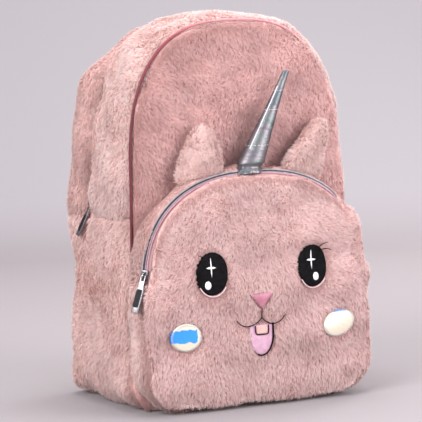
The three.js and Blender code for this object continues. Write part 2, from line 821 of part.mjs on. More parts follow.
function tongueOutline() {
  const half = TONGUE_WIDTH / 2;
  const straight = TONGUE_HEIGHT * 0.3;
  const points = [
    [half, TONGUE_HEIGHT / 2],
    [-half, TONGUE_HEIGHT / 2],
  ];
  const steps = 10;
  const deep = TONGUE_HEIGHT - straight;
  for (let i = 0; i <= steps; i++) {
    const angle = Math.PI + (i / steps) * Math.PI;
    points.push([
      half * Math.cos(angle),
      TONGUE_HEIGHT / 2 - straight + deep * Math.sin(angle),
    ]);
  }
  return points;
}

// Where each patch lies: sideways as a share of the pocket's width, and above the base as a share of
// its height.
const PATCHES = [
  { name: "eye_left", across: -0.222, high: 0.58, slot: "black", outline: oval(EYE_WIDTH, EYE_HEIGHT, 22) },
  { name: "eye_right", across: 0.222, high: 0.58, slot: "black", outline: oval(EYE_WIDTH, EYE_HEIGHT, 22) },
  { name: "nose", across: -0.01, high: 0.454, slot: "nose", outline: triangle(NOSE_WIDTH, NOSE_HEIGHT) },
  { name: "tongue", across: -0.01, high: 0.291, slot: "tongue", outline: tongueOutline() },
  { name: "cheek_left", across: -0.339, high: 0.328, slot: "cheek", outline: oval(CHEEK_WIDTH, CHEEK_HEIGHT, 20) },
  { name: "cheek_right", across: 0.335, high: 0.328, slot: "cheek", outline: oval(CHEEK_WIDTH, CHEEK_HEIGHT, 20) },
];

function patches(face) {
  const placed = {};
  for (const { name, across, high, slot, outline } of PATCHES) {
    const laid = patch(outline, across * POCKET_WIDTH, high * POCKET_HEIGHT);
    placed[name] = add(name, trim(laid, face, 0, -GAP, 0), slot);
  }
  for (const [side, sign] of [["left", -1], ["right", 1]]) {
    const eye = PATCHES.find(({ name }) => name === `eye_${side}`);
    const under = placed[`eye_${side}`];
    const on = (geometry) => trim(geometry, under, 0, -GAP, 0);
    const eyeAcross = eye.across * POCKET_WIDTH;
    const eyeHigh = eye.high * POCKET_HEIGHT;
    const starHigh = eyeHigh + EYE_HEIGHT * STAR_RISE;
    const glintHigh = eyeHigh - EYE_HEIGHT * GLINT_DROP;
    const glint = oval(GLINT_WIDTH, GLINT_HEIGHT, 12);
    const glintAcross = eyeAcross + sign * EYE_WIDTH * GLINT_SIDE;
    add(`eye_star_${side}`, on(patch(star(), eyeAcross, starHigh, EYE_LIFT)), "white");
    add(`eye_glint_${side}`, on(patch(glint, glintAcross, glintHigh, EYE_LIFT)), "white");
  }
}

// Sliders and pulls

function manifoldOf(geometry) {
  const plain = geometry.clone();
  plain.deleteAttribute("normal");
  plain.deleteAttribute("uv");
  const merged = mergeVertices(plain, 1e-4);
  return new wasm.Manifold(
    new wasm.Mesh({
      numProp: 3,
      vertProperties: new Float32Array(merged.attributes.position.array),
      triVerts: new Uint32Array(merged.index.array),
    }),
  );
}

function geometryOf(manifold) {
  const mesh = manifold.getMesh();
  const geometry = new THREE.BufferGeometry();
  geometry.setAttribute("position", new THREE.BufferAttribute(mesh.vertProperties, 3));
  geometry.setIndex(new THREE.BufferAttribute(mesh.triVerts, 1));
  return geometry;
}

// What is left of one solid after another, moved a little, is cut away.
function trim(geometry, cutter, dx, dy, dz) {
  const rest = manifoldOf(geometry).subtract(manifoldOf(cutter.geometry).translate(dx, dy, dz));
  const largest = rest.decompose().sort((a, b) => b.volume() - a.volume())[0];
  return geometryOf(largest);
}

// A slider's own frame: X across the zip, Y along it upwards, Z out of the cloth, Z = 0 at its underside.
function sliderGeometry(keelDepth) {
  const body = new THREE.BoxGeometry(SLIDER_WIDTH, SLIDER_LENGTH, SLIDER_THICKNESS);
  body.translate(0, 0, SLIDER_THICKNESS / 2);
  const keel = new THREE.BoxGeometry(KEEL_WIDTH, KEEL_LENGTH, keelDepth + SLIDER_THICKNESS / 2);
  keel.translate(0, 0, (SLIDER_THICKNESS / 2 - keelDepth) / 2);
  const arch = new THREE.Shape();
  arch.absarc(0, 0, BRIDGE_OUTER, -BRIDGE_SPREAD, Math.PI + BRIDGE_SPREAD, false);
  arch.absarc(0, 0, BRIDGE_INNER, Math.PI + BRIDGE_SPREAD, -BRIDGE_SPREAD, true);
  const bridge = new THREE.ExtrudeGeometry(arch, {
    depth: BRIDGE_THICKNESS,
    bevelEnabled: false,
    curveSegments: 6,
  });
  bridge.translate(0, 0, -BRIDGE_THICKNESS / 2);
  bridge.applyMatrix4(
    new THREE.Matrix4().makeBasis(
      new THREE.Vector3(0, 1, 0),
      new THREE.Vector3(0, 0, 1),
      new THREE.Vector3(1, 0, 0),
    ),
  );
  bridge.translate(0, 0, PIVOT_HEIGHT);
  const joined = manifoldOf(body).add(manifoldOf(bridge));
  return geometryOf(keelDepth ? joined.add(manifoldOf(keel)) : joined);
}

// A pull hangs along -Y from its pivot at the origin, with its eye round the slider's bridge.
function pullGeometry() {
  const outline = new THREE.Shape();
  const neck = PULL_NECK_WIDTH / 2;
  const half = PULL_WIDTH / 2;
  outline.moveTo(-neck, EYE_SLOT_START);
  outline.lineTo(-neck, -PULL_NECK_LENGTH + 2);
  outline.lineTo(-half, -PULL_NECK_LENGTH);
  outline.lineTo(-half, -PULL_LENGTH);
  outline.lineTo(half, -PULL_LENGTH);
  outline.lineTo(half, -PULL_NECK_LENGTH);
  outline.lineTo(neck, -PULL_NECK_LENGTH + 2);
  outline.lineTo(neck, EYE_SLOT_START);
  const slot = new THREE.Path();
  const side = EYE_SLOT_WIDTH / 2;
  slot.moveTo(-side, -EYE_SLOT_START);
  slot.lineTo(side, -EYE_SLOT_START);
  slot.lineTo(side, -EYE_SLOT_END);
  slot.lineTo(-side, -EYE_SLOT_END);
  outline.holes.push(slot);
  const geometry = new THREE.ExtrudeGeometry(outline, {
    depth: PULL_THICKNESS,
    bevelEnabled: false,
  });
  geometry.translate(0, 0, -PULL_THICKNESS / 2);
  return geometry;
}

// Sets a slider and its hanging pull with the slider's underside at a place. Out is the way the slider
// faces as seen from above, in degrees from -X towards -Y.
function zipEnd(name, place, out, turn, tilt, keelDepth) {
  const facing = new THREE.Vector3(-Math.cos(out * degrees), -Math.sin(out * degrees), 0);
  const rise = new THREE.Vector3(0, 0, 1);
  const across = new THREE.Vector3().crossVectors(rise, facing);
  const group = new THREE.Group();
  group.position.copy(place);
  group.quaternion.setFromRotationMatrix(new THREE.Matrix4().makeBasis(across, rise, facing));
  group.rotateZ(-turn * degrees);
  backpack.add(group);
  add(`${name}_slider`, sliderGeometry(keelDepth), "metal", group);
  const pull = add(`${name}_pull`, pullGeometry(), "metal", group);
  pull.position.set(0, 0, PIVOT_HEIGHT);
  pull.rotation.x = -tilt * degrees;
}

function zipEnds() {
  const high = MAIN_ZIP_END + SLIDER_LENGTH;
  const p = bagArch.at(bagArch.distanceAt(high));
  const main = new THREE.Vector3(p.x - SLIDER_RISE, MAIN_ZIP_MIDDLE, high);
  zipEnd("main", main, 0, MAIN_PULL_TURN, MAIN_PULL_TILT, SLIT_DEPTH + 1 + SLIDER_RISE - GAP);
  const pocketHigh = POCKET_ZIP_END + SLIDER_LENGTH;
  const q = pocketArch.at(pocketArch.distanceAt(pocketHigh));
  const half = POCKET_ZIP_RUN / 2;
  const lift = SLIDER_SEAT * Math.SQRT1_2;
  const edge = FACE_RIM + 2 * GAP;
  const pocket = new THREE.Vector3(q.x + half - lift, edge + half - lift, pocketHigh);
  zipEnd("pocket", pocket, 45, POCKET_PULL_TURN, POCKET_PULL_TILT, 0);
}

// Straps, locks and carry loop on the back

// A flat strap along points in one plane: width runs along X and the points give Y and Z.
function strap(points, width, thickness, steps, shift = () => 0) {
  const curve = new THREE.CatmullRomCurve3(points, false, "centripetal");
  const rings = [];
  for (let i = 0; i <= steps; i++) {
    const share = i / steps;
    const p = curve.getPointAt(share);
    const t = curve.getTangentAt(share);
    const out = new THREE.Vector3(0, -t.z, t.y).normalize().multiplyScalar(thickness / 2);
    const x = p.x + shift(share);
    const half = width / 2;
    const soft = half * 0.9;
    const corner = (dx, k) => new THREE.Vector3(x + dx, p.y + out.y * k, p.z + out.z * k);
    const edge = thickness > WALL ? [corner(-half, 0.5), corner(-soft, 1)] : [corner(-half, 1)];
    const far = thickness > WALL ? [corner(soft, 1), corner(half, 0.5)] : [corner(half, 1)];
    const back = thickness > WALL ? [corner(half, -0.5), corner(soft, -1)] : [corner(half, -1)];
    const near = thickness > WALL ? [corner(-soft, -1), corner(-half, -0.5)] : [corner(-half, -1)];
    rings.push([...edge, ...far, ...back, ...near]);
  }
  return sweep(rings);
}

function backSurface(x, z) {
  return BACK_SEAM + WALL / 2 + BACK_CROWN * (1 - bagArch.shareOf(x, z) ** 4);
}

function lockGeometry() {
  const frame = new THREE.Shape();
  frame.moveTo(-LOCK_WIDTH / 2, -LOCK_HEIGHT / 2);
  frame.lineTo(LOCK_WIDTH / 2, -LOCK_HEIGHT / 2);
  frame.lineTo(LOCK_WIDTH / 2, LOCK_HEIGHT / 2);
  frame.lineTo(-LOCK_WIDTH / 2, LOCK_HEIGHT / 2);
  const inner = LOCK_WIDTH / 2 - LOCK_BAR;
  const window = new THREE.Path();
  window.moveTo(-inner, -LOCK_HEIGHT / 2 + LOCK_BAR);
  window.lineTo(inner, -LOCK_HEIGHT / 2 + LOCK_BAR);
  window.lineTo(inner, LOCK_HEIGHT / 2 - LOCK_BAR);
  window.lineTo(-inner, LOCK_HEIGHT / 2 - LOCK_BAR);
  frame.holes.push(window);
  const geometry = new THREE.ExtrudeGeometry(frame, { depth: LOCK_THICKNESS, bevelEnabled: false });
  geometry.translate(0, 0, -LOCK_THICKNESS / 2);
  geometry.rotateX(Math.PI / 2);
  return geometry;
}

function shoulderStraps() {
  for (const [side, sign] of [["left", -1], ["right", 1]]) {
    const x = sign * STRAP_PLACE;
    const anchor = backSurface(x, STRAP_TOP) + STRAP_THICKNESS / 2 + 2 * GAP;
    const far = BACK_SEAM + STRAP_BOW;
    const along = (share, y) => new THREE.Vector3(x, y, mix(STRAP_TOP, STRAP_BOTTOM, share));
    const path = [
      along(0, anchor),
      along(0.12, anchor + 2),
      along(0.32, mix(anchor, far, 0.7)),
      along(0.6, far),
      along(1, far),
    ];
    add(
      `strap_${side}`,
      strap(path, STRAP_WIDTH, STRAP_THICKNESS, 14, (share) => sign * STRAP_SPREAD * Math.sin(share * Math.PI)),
      "plush",
    );
    const lockHigh = STRAP_BOTTOM - LOCK_HEIGHT / 2 - GAP;
    const lock = add(`strap_lock_${side}`, lockGeometry(), "plastic");
    lock.position.set(x, far, lockHigh);

    // The web rises behind the lock's lower bar, turns over it through the window and hangs as a tail.
    const barTop = lockHigh - LOCK_HEIGHT / 2 + LOCK_BAR;
    const barMiddle = barTop - LOCK_BAR / 2;
    const clear = LOCK_THICKNESS / 2 + WEB_THICKNESS / 2 + 4 * GAP;
    const footX = sign * WEB_FOOT_PLACE;
    const footY = backSurface(footX, WEB_FOOT) + WEB_THICKNESS / 2 + GAP;
    const straight = barMiddle - LOCK_HEIGHT;
    const drift = (z) => mix(footX, x, clamp((z - WEB_FOOT) / (straight - WEB_FOOT), 0, 1));
    const step = (y, z) => new THREE.Vector3(drift(z), y, z);
    const web = [
      step(footY, WEB_FOOT),
      step(footY + WEB_ROOT_RISE, WEB_FOOT + WEB_ROOT),
      step(mix(footY, far - clear, 0.6), mix(WEB_FOOT, barMiddle, 0.5)),
      step(far - clear, straight),
      step(far - clear, barMiddle),
      step(far - clear * 0.86, barTop + WEB_TURN * 0.44),
      step(far, barTop + WEB_TURN),
      step(far + clear * 0.86, barTop + WEB_TURN * 0.44),
      step(far + clear, barMiddle),
      step(far + clear, straight),
    ];
    web.push(new THREE.Vector3(x, far + clear + 2, barMiddle - WEB_TAIL));
    add(`strap_web_${side}`, strap(web, WEB_WIDTH, WEB_THICKNESS, 30), "web");
  }
}

// The loop is laid out lying on its side, then stood up with its width along Z.
function carryLoop(backPanel) {
  const seat = (x) => backSurface(x, LOOP_TOP) + (LOOP_THICKNESS - SET_IN) / 2;
  const place = (x, out) => new THREE.Vector3(0, seat(x) + out, x);
  const end = LOOP_SPAN / 2;
  const root = end - LOOP_TAB;
  const path = [
    place(-end, 0),
    place(-root, 0),
    place(-root * 0.8, LOOP_BOW * 0.45),
    place(-root * 0.45, LOOP_BOW * 0.9),
    place(0, LOOP_BOW),
    place(root * 0.45, LOOP_BOW * 0.9),
    place(root * 0.8, LOOP_BOW * 0.45),
    place(root, 0),
    place(end, 0),
  ];
  const loop = strap(path, LOOP_WIDTH, LOOP_THICKNESS, 22);
  loop.rotateY(Math.PI / 2);
  loop.translate(0, 0, LOOP_TOP);
  add("carry_loop", trim(loop, backPanel, 0, GAP, 0), "web");
}

mainBag();
const { frontPanel, backPanel } = bagPanels();
const { face, topGusset } = pocket(frontPanel);
headgear(topGusset);
patches(face);
zipEnds();
shoulderStraps();
carryLoop(backPanel);

export default backpack;
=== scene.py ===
import math

import bmesh
import bpy
import numpy as np
from mathutils import Matrix, Vector
from mathutils.bvhtree import BVHTree


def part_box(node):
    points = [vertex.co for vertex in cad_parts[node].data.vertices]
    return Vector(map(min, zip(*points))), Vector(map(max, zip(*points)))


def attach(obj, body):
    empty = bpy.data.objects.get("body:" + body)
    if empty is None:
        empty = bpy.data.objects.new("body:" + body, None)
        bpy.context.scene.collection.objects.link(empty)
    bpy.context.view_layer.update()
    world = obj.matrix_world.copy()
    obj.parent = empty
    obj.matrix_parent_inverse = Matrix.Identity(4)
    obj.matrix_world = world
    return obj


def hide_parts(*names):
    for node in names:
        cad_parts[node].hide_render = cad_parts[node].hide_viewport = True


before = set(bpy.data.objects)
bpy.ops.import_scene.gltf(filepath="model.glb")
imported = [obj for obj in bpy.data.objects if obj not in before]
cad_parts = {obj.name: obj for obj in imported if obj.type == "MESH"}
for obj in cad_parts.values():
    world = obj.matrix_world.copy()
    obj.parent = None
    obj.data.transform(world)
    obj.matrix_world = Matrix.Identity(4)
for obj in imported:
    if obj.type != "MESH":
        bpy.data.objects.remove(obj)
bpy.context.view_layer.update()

MM = 0.001
BODY = "bag"

# Camera, fitted to the photograph
AZIMUTH, ELEVATION, ROLL = -24.26, 4.53, -1.97
DISTANCE = 1.792
LENS = 147.1
TARGET = Vector((-0.0337, -0.075, 0.2021))

# Places on the bag that the dressing needs, in metres
FRONT_SEAM = -0.075
BACK_SEAM = 0.075
ZIP_PLANE = 0.021
ZIP_END = 0.2
POCKET_RIM = -0.113
FACE_PATCH_LIFT = 0.0034

rng = np.random.default_rng(7)


def camera():
    a, e, r = (math.radians(v) for v in (AZIMUTH, ELEVATION, ROLL))
    back = Vector((math.sin(a) * math.cos(e), -math.cos(a) * math.cos(e), math.sin(e)))
    right = (-back).cross(Vector((0, 0, 1))).normalized()
    up = right.cross(-back)
    right, up = (
        right * math.cos(r) + up * math.sin(r),
        up * math.cos(r) - right * math.sin(r),
    )
    data = bpy.data.cameras.new("camera")
    data.lens = LENS
    data.sensor_width = 36
    data.clip_start, data.clip_end = 0.1, 20
    cam = bpy.data.objects.new("camera", data)
    bpy.context.scene.collection.objects.link(cam)
    turn = Matrix((right, up, back)).transposed().to_4x4()
    cam.matrix_world = Matrix.Translation(TARGET + back * DISTANCE) @ turn
    bpy.context.scene.camera = cam


camera()


# Materials

class Shader:
    """A small helper that adds nodes to one material and links them."""

    def __init__(self, name):
        self.material = bpy.data.materials.new(name)
        self.material.use_nodes = True
        self.tree = self.material.node_tree
        self.surface = self.tree.nodes["Principled BSDF"]

    def node(self, kind, links=(), **values):
        made = self.tree.nodes.new(kind)
        for key, value in values.items():
            if hasattr(made, key):
                setattr(made, key, value)
            else:
                made.inputs[key.replace("_", " ")].default_value = value
        for socket, source in dict(links).items():
            self.tree.links.new(source, made.inputs[socket])
        return made

    def set(self, **values):
        for key, value in values.items():
            socket = self.surface.inputs[key.replace("_", " ")]
            if isinstance(value, bpy.types.NodeSocket):
                self.tree.links.new(value, socket)
            else:
                socket.default_value = value
        return self

    def position(self):
        return self.node("ShaderNodeTexCoord").outputs["Object"]

    def noise(self, scale, detail=2.0, where=None, distortion=0.0):
        made = self.node("ShaderNodeTexNoise", Scale=scale, Detail=detail, Distortion=distortion)
        self.tree.links.new(where or self.position(), made.inputs["Vector"])
        return made.outputs["Fac"]

    def ramp(self, factor, stops):
        made = self.node("ShaderNodeValToRGB", {"Fac": factor})
        ramp = made.color_ramp
        while len(ramp.elements) < len(stops):
            ramp.elements.new(0.5)
        for element, (place, color) in zip(ramp.elements, stops):
            element.position = place
            element.color = (*color, 1)
        return made.outputs["Color"]

    def bump(self, height, strength=0.3, distance=0.001):
        made = self.node("ShaderNodeBump", {"Height": height}, Strength=strength, Distance=distance)
        return made.outputs["Normal"]

    def wave(self, scale, direction, where=None, distortion=0.0):
        made = self.node(
            "ShaderNodeTexWave", bands_direction=direction, Scale=scale, Distortion=distortion
        )
        self.tree.links.new(where or self.position(), made.inputs["Vector"])
        return made.outputs["Fac"]

    def math(self, operation, a, b):
        made = self.node("ShaderNodeMath", operation=operation)
        for i, value in enumerate((a, b)):
            if isinstance(value, bpy.types.NodeSocket):
                self.tree.links.new(value, made.inputs[i])
            else:
                made.inputs[i].default_value = value
        return made.outputs[0]

    def mix(self, factor, a, b, blend="MIX"):
        made = self.node("ShaderNodeMix", data_type="RGBA", blend_type=blend)
        for i, value in ((0, factor), (6, a), (7, b)):
            if isinstance(value, bpy.types.NodeSocket):
                self.tree.links.new(value, made.inputs[i])
            else:
                made.inputs[i].default_value = value if i == 0 else (*value, 1)
        return made.outputs[2]


def fur_material(name, tint):
    s = Shader(name)
    parts = s.node(
        "ShaderNodeSeparateColor",
        {"Color": s.node("ShaderNodeAttribute", attribute_name="fur").outputs["Color"]},
    )
    along, each, mottle_and_shade = (parts.outputs[i] for i in range(3))
    color = s.ramp(
        along,
        [
            (0.0, (0.86, 0.53, 0.51)),
            (0.45, (0.90, 0.65, 0.61)),
            (0.8, (0.93, 0.76, 0.72)),
            (1.0, (0.94, 0.85, 0.82)),
        ],
    )
    shade = s.ramp(each, [(0.0, (0.93, 0.91, 0.91)), (1.0, (1.0, 1.0, 1.0))])
    # The third channel mixes random clump mottle with painted shade. Its ramp darkens the pile's pink and makes it
    # deeper where the value is low.
    mottle_and_shade_color = s.ramp(mottle_and_shade, [(0.0, (0.60, 0.46, 0.45)), (0.8, (0.97, 0.94, 0.94)), (1.0, (1.0, 1.0, 1.0))])
    color = s.mix(1.0, s.mix(1.0, color, shade, "MULTIPLY"), mottle_and_shade_color, "MULTIPLY")
    color = s.mix(1.0, color, tint, "MULTIPLY")
    s.set(
        Base_Color=color,
        Roughness=0.75,
        Sheen_Weight=0.4,
        Sheen_Roughness=0.5,
        Sheen_Tint=(1.0, 0.88, 0.86, 1),
        Specular_IOR_Level=0.25,
    )
    through = s.node("ShaderNodeBsdfTranslucent", {"Color": color})
    both = s.node(
        "ShaderNodeMixShader",
        {1: s.surface.outputs["BSDF"], 2: through.outputs["BSDF"]},
        Fac=0.48,
    )
    s.tree.links.new(both.outputs["Shader"], s.tree.nodes["Material Output"].inputs["Surface"])
    return s.material


def backing_material():
    s = Shader("plush_backing")
    color = s.ramp(s.noise(160), [(0.3, (0.56, 0.36, 0.34)), (0.7, (0.62, 0.41, 0.39))])
    s.set(Base_Color=color, Roughness=0.95, Specular_IOR_Level=0.1)
    return s.material


def satin(name, low, high, roughness=0.4, scale=700, strength=0.25, sheen=0.15):
    s = Shader(name)
    threads = s.wave(scale, "DIAGONAL", distortion=1.0)
    color = s.ramp(s.noise(220, 3), [(0.3, low), (0.7, high)])
    s.set(
        Base_Color=color,
        Roughness=roughness,
        Normal=s.bump(threads, strength, 0.0003),
        Sheen_Weight=sheen,
        Specular_IOR_Level=0.3,
    )
    return s.material


def piping_material():
    """Rose satin with painted shade and light: dark along the side at -X as painted shade from the groove, and lighter
    over the top as painted light.
    """
    s = Shader("piping_satin_painted_shade")
    place = s.node("ShaderNodeSeparateXYZ", {"Vector": s.position()})
    along = s.node("ShaderNodeMapRange", {"Value": place.outputs["X"]})
    along.inputs["From Min"].default_value = -0.12
    along.inputs["From Max"].default_value = -0.02
    color = s.ramp(along.outputs["Result"], [(0.0, (0.10, 0.015, 0.022)), (0.5, (0.26, 0.055, 0.072)), (1.0, (0.62, 0.24, 0.28))])
    s.set(
        Base_Color=color,
        Roughness=0.4,
        Normal=s.bump(s.wave(700, "DIAGONAL", distortion=1.0), 0.25, 0.0003),
        Specular_IOR_Level=0.3,
    )
    return s.material


def woven(name, low, high, scale=900):
    s = Shader(name)
    weave = s.math("MULTIPLY", s.wave(scale, "X"), s.wave(scale, "Z"))
    color = s.ramp(s.noise(90, 4), [(0.3, low), (0.7, high)])
    s.set(Base_Color=color, Roughness=0.85, Normal=s.bump(weave, 0.4, 0.0004), Sheen_Weight=0.2)
    return s.material


def metal(name, color, roughness):
    s = Shader(name)
    worn = s.node("ShaderNodeMapRange", {"Value": s.noise(400, 3)})
    worn.inputs["To Min"].default_value = roughness * 0.8
    worn.inputs["To Max"].default_value = roughness * 1.3
    s.set(Base_Color=(*color, 1), Metallic=1.0, Roughness=worn.outputs["Result"])
    return s.material


def foil_material():
    s = Shader("horn_foil")
    tint = s.ramp(
        s.noise(28, 2, distortion=1.2),
        [(0.3, (0.08, 0.105, 0.115)), (0.42, (0.15, 0.17, 0.17)), (0.5, (0.18, 0.16, 0.175)), (0.6, (0.11, 0.125, 0.14)), (0.75, (0.14, 0.165, 0.16))],
    )
    grain = s.noise(900, 4)
    s.set(
        Base_Color=tint,
        Metallic=0.85,
        Roughness=0.42,
        Normal=s.bump(grain, 0.35, 0.0006),
        Coat_Weight=0.1,
        Coat_Roughness=0.25,
    )
    return s.material


def cheek_material(side):
    """Iridescent film that is cream seen straight on, with one blue area."""
    s = Shader(f"cheek_film_{side}")
    place = s.node("ShaderNodeSeparateXYZ", {"Vector": s.position()})
    low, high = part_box(f"cheek_{side}")

    def share(axis, start, end):
        made = s.node("ShaderNodeMapRange", {"Value": place.outputs[axis]})
        made.inputs["From Min"].default_value = start
        made.inputs["From Max"].default_value = end
        return made.outputs["Result"]

    up = s.math("ADD", share("Z", low.z, high.z), s.math("MULTIPLY", share("X", low.x, high.x), CHEEK_SLOPE[side]))
    wavy = s.math("ADD", up, s.math("MULTIPLY", s.noise(150, 1), 0.34))
    cream = (0.60, 0.53, 0.42)
    pale = (0.66, 0.63, 0.52)
    blue = (0.03, 0.26, 0.74)
    if side == "left":
        bands = s.ramp(wavy, [(0.50, cream), (0.52, blue), (0.93, blue), (0.95, pale)])
        across = s.math("ADD", share("X", low.x, high.x), s.math("MULTIPLY", s.noise(120, 1), 0.2))
        inside = s.ramp(across, [(0.93, (1, 1, 1)), (0.96, (0, 0, 0))])
        color = s.mix(inside, pale, bands)
    else:
        color = s.ramp(up, [(0.2, cream), (0.85, pale), (0.885, pale), (0.9, blue)])
    s.set(
        Base_Color=color,
        Metallic=0.1,
        Roughness=0.3,
        Coat_Weight=0.25,
        Coat_Roughness=0.15,
        Normal=s.bump(s.noise(300, 2), 0.08, 0.0005),
    )
    return s.material


CHEEK_SLOPE = {"left": 0.0, "right": -0.06}

FUR = fur_material("plush_fur", (1.0, 1.0, 1.0))
# The front panel's copy of the pile is tinted a deeper pink as painted shade. The front roll's copy is paler and
# lighter as painted light.
PANEL_FUR_PAINTED_SHADE = fur_material("plush_fur_panel_painted_shade", (1.0, 0.90, 0.915))
ROLL_FUR_PAINTED_LIGHT = fur_material("plush_fur_roll_painted_light", (1.01, 1.045, 1.05))
FACE_FUR = fur_material("plush_fur_face", (0.98, 0.95, 0.965))
BACKING = backing_material()
PIPING = piping_material()
BLACK = satin("black_thread", (0.003, 0.003, 0.003), (0.008, 0.007, 0.008), 0.85, sheen=0.0)
BLACK.node_tree.nodes["Principled BSDF"].inputs["Specular IOR Level"].default_value = 0.06
WHITE = satin("white_thread", (0.66, 0.66, 0.68), (0.74, 0.73, 0.75), 0.5)
ROSE = satin("nose_satin", (0.33, 0.115, 0.165), (0.42, 0.18, 0.235), 0.55)
TONGUE = satin("tongue_satin", (0.45, 0.25, 0.34), (0.54, 0.33, 0.43), 0.55)
TOOTH = satin("tooth_plush", (0.52, 0.30, 0.28), (0.60, 0.37, 0.35), 0.8)
RIM = satin("rim_thread", (0.58, 0.40, 0.42), (0.68, 0.50, 0.52), 0.6)
LILAC = satin("trim_satin", (0.34, 0.16, 0.21), (0.48, 0.25, 0.32), 0.45)
# A dark rose for the painted shade in the main zip's crease
ZIP_CREASE_SHADE = satin("zip_crease_painted_shade", (0.12, 0.045, 0.045), (0.18, 0.07, 0.07), 0.8, sheen=0.0)
DARK = satin("zip_shadow", (0.03, 0.02, 0.025), (0.07, 0.045, 0.05), 0.7)
ZIP_SILVER = satin("zip_silver", (0.24, 0.23, 0.25), (0.36, 0.35, 0.37), 0.45, 1400)
ZIP_SILVER.node_tree.nodes["Principled BSDF"].inputs["Metallic"].default_value = 0.4
LINING = woven("lining", (0.16, 0.05, 0.06), (0.25, 0.09, 0.10))
WEB = woven("web", (0.58, 0.26, 0.26), (0.68, 0.34, 0.34), 1300)
STRAP_CLOTH = woven("strap_cloth", (0.62, 0.29, 0.28), (0.72, 0.38, 0.37), 700)
CHROME = metal("chrome", (0.19, 0.18, 0.19), 0.26)
SMOKED = satin("smoked_plate", (0.006, 0.006, 0.008), (0.014, 0.014, 0.018), 0.5, 300, 0.02, 0.0)
SMOKED.node_tree.nodes["Principled BSDF"].inputs["Specular IOR Level"].default_value = 0.12
LOCK = satin("lock_plastic", (0.62, 0.30, 0.31), (0.68, 0.35, 0.36), 0.4, 300, 0.02)
FOIL = foil_material()


# Mesh helpers

def new_object(name, vertices, faces, material, smooth=True):
    data = bpy.data.meshes.new(name)
    data.from_pydata([tuple(v) for v in vertices], [], [tuple(f) for f in faces])
    data.materials.append(material)
    if smooth:
        data.shade_smooth()
    made = bpy.data.objects.new(name, data)
    bpy.context.scene.collection.objects.link(made)
    return made


def settle(obj, nodes, body=BODY):
    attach(obj, body)
    if nodes:
        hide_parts(*nodes)
    return obj


def apply_modifiers(obj):
    graph = bpy.context.evaluated_depsgraph_get()
    data = bpy.data.meshes.new_from_object(obj.evaluated_get(graph))
    obj.modifiers.clear()
    obj.data = data


def copy_node(node, name, material, levels=2):
    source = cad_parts[node]
    data = source.data.copy()
    data.materials.clear()
    data.materials.append(material)
    made = bpy.data.objects.new(name, data)
    bpy.context.scene.collection.objects.link(made)
    welded = bmesh.new()
    welded.from_mesh(data)
    bmesh.ops.remove_doubles(welded, verts=welded.verts, dist=1e-6)
    bmesh.ops.join_triangles(
        welded, faces=welded.faces, angle_face_threshold=0.9, angle_shape_threshold=1.2
    )
    sharp = welded.edges.layers.float.get("crease_edge") or welded.edges.layers.float.new("crease_edge")
    for edge in welded.edges:
        if len(edge.link_faces) == 2 and edge.calc_face_angle(0) > math.radians(42):
            edge[sharp] = 0.75
    welded.to_mesh(data)
    welded.free()
    if levels:
        step = made.modifiers.new("smooth", "SUBSURF")
        step.levels = step.render_levels = levels
        apply_modifiers(made)
    made.data.shade_smooth()
    return made


def coords(obj):
    co = np.zeros(len(obj.data.vertices) * 3, np.float32)
    obj.data.vertices.foreach_get("co", co)
    return co.reshape(-1, 3).astype(float)


def set_coords(obj, co):
    obj.data.vertices.foreach_set("co", co.astype(np.float32).ravel())
    obj.data.update()


def waves(seed, count, wavelength):
    r = np.random.default_rng(seed)
    way = r.normal(size=(count, 3))
    way /= np.linalg.norm(way, axis=1, keepdims=True)
    k = way * (2 * np.pi / wavelength) * r.uniform(0.6, 1.6, (count, 1))
    return k, r.uniform(0, 2 * np.pi, count)


def field(points, seed, wavelength, count=14):
    """A smooth seeded field of about unit size at each point."""
    k, phase = waves(seed, count, wavelength)
    return np.sin(points @ k.T + phase).sum(1) / math.sqrt(count / 2)


def vector_field(points, seed, wavelength):
    return np.stack([field(points, seed + i, wavelength) for i in range(3)], 1)


def normals_of(obj):
    n = np.zeros(len(obj.data.vertices) * 3, np.float32)
    obj.data.vertices.foreach_get("normal", n)
    return n.reshape(-1, 3).astype(float)


def lump(obj, amount, wavelength, seed):
    co = coords(obj)
    set_coords(obj, co + normals_of(obj) * (amount * field(co, seed, wavelength))[:, None])


def unit(v):
    return v / np.maximum(np.linalg.norm(v, axis=1, keepdims=True), 1e-9)


# Fur

DOWN = np.array([0.0, 0.0, -1.0])


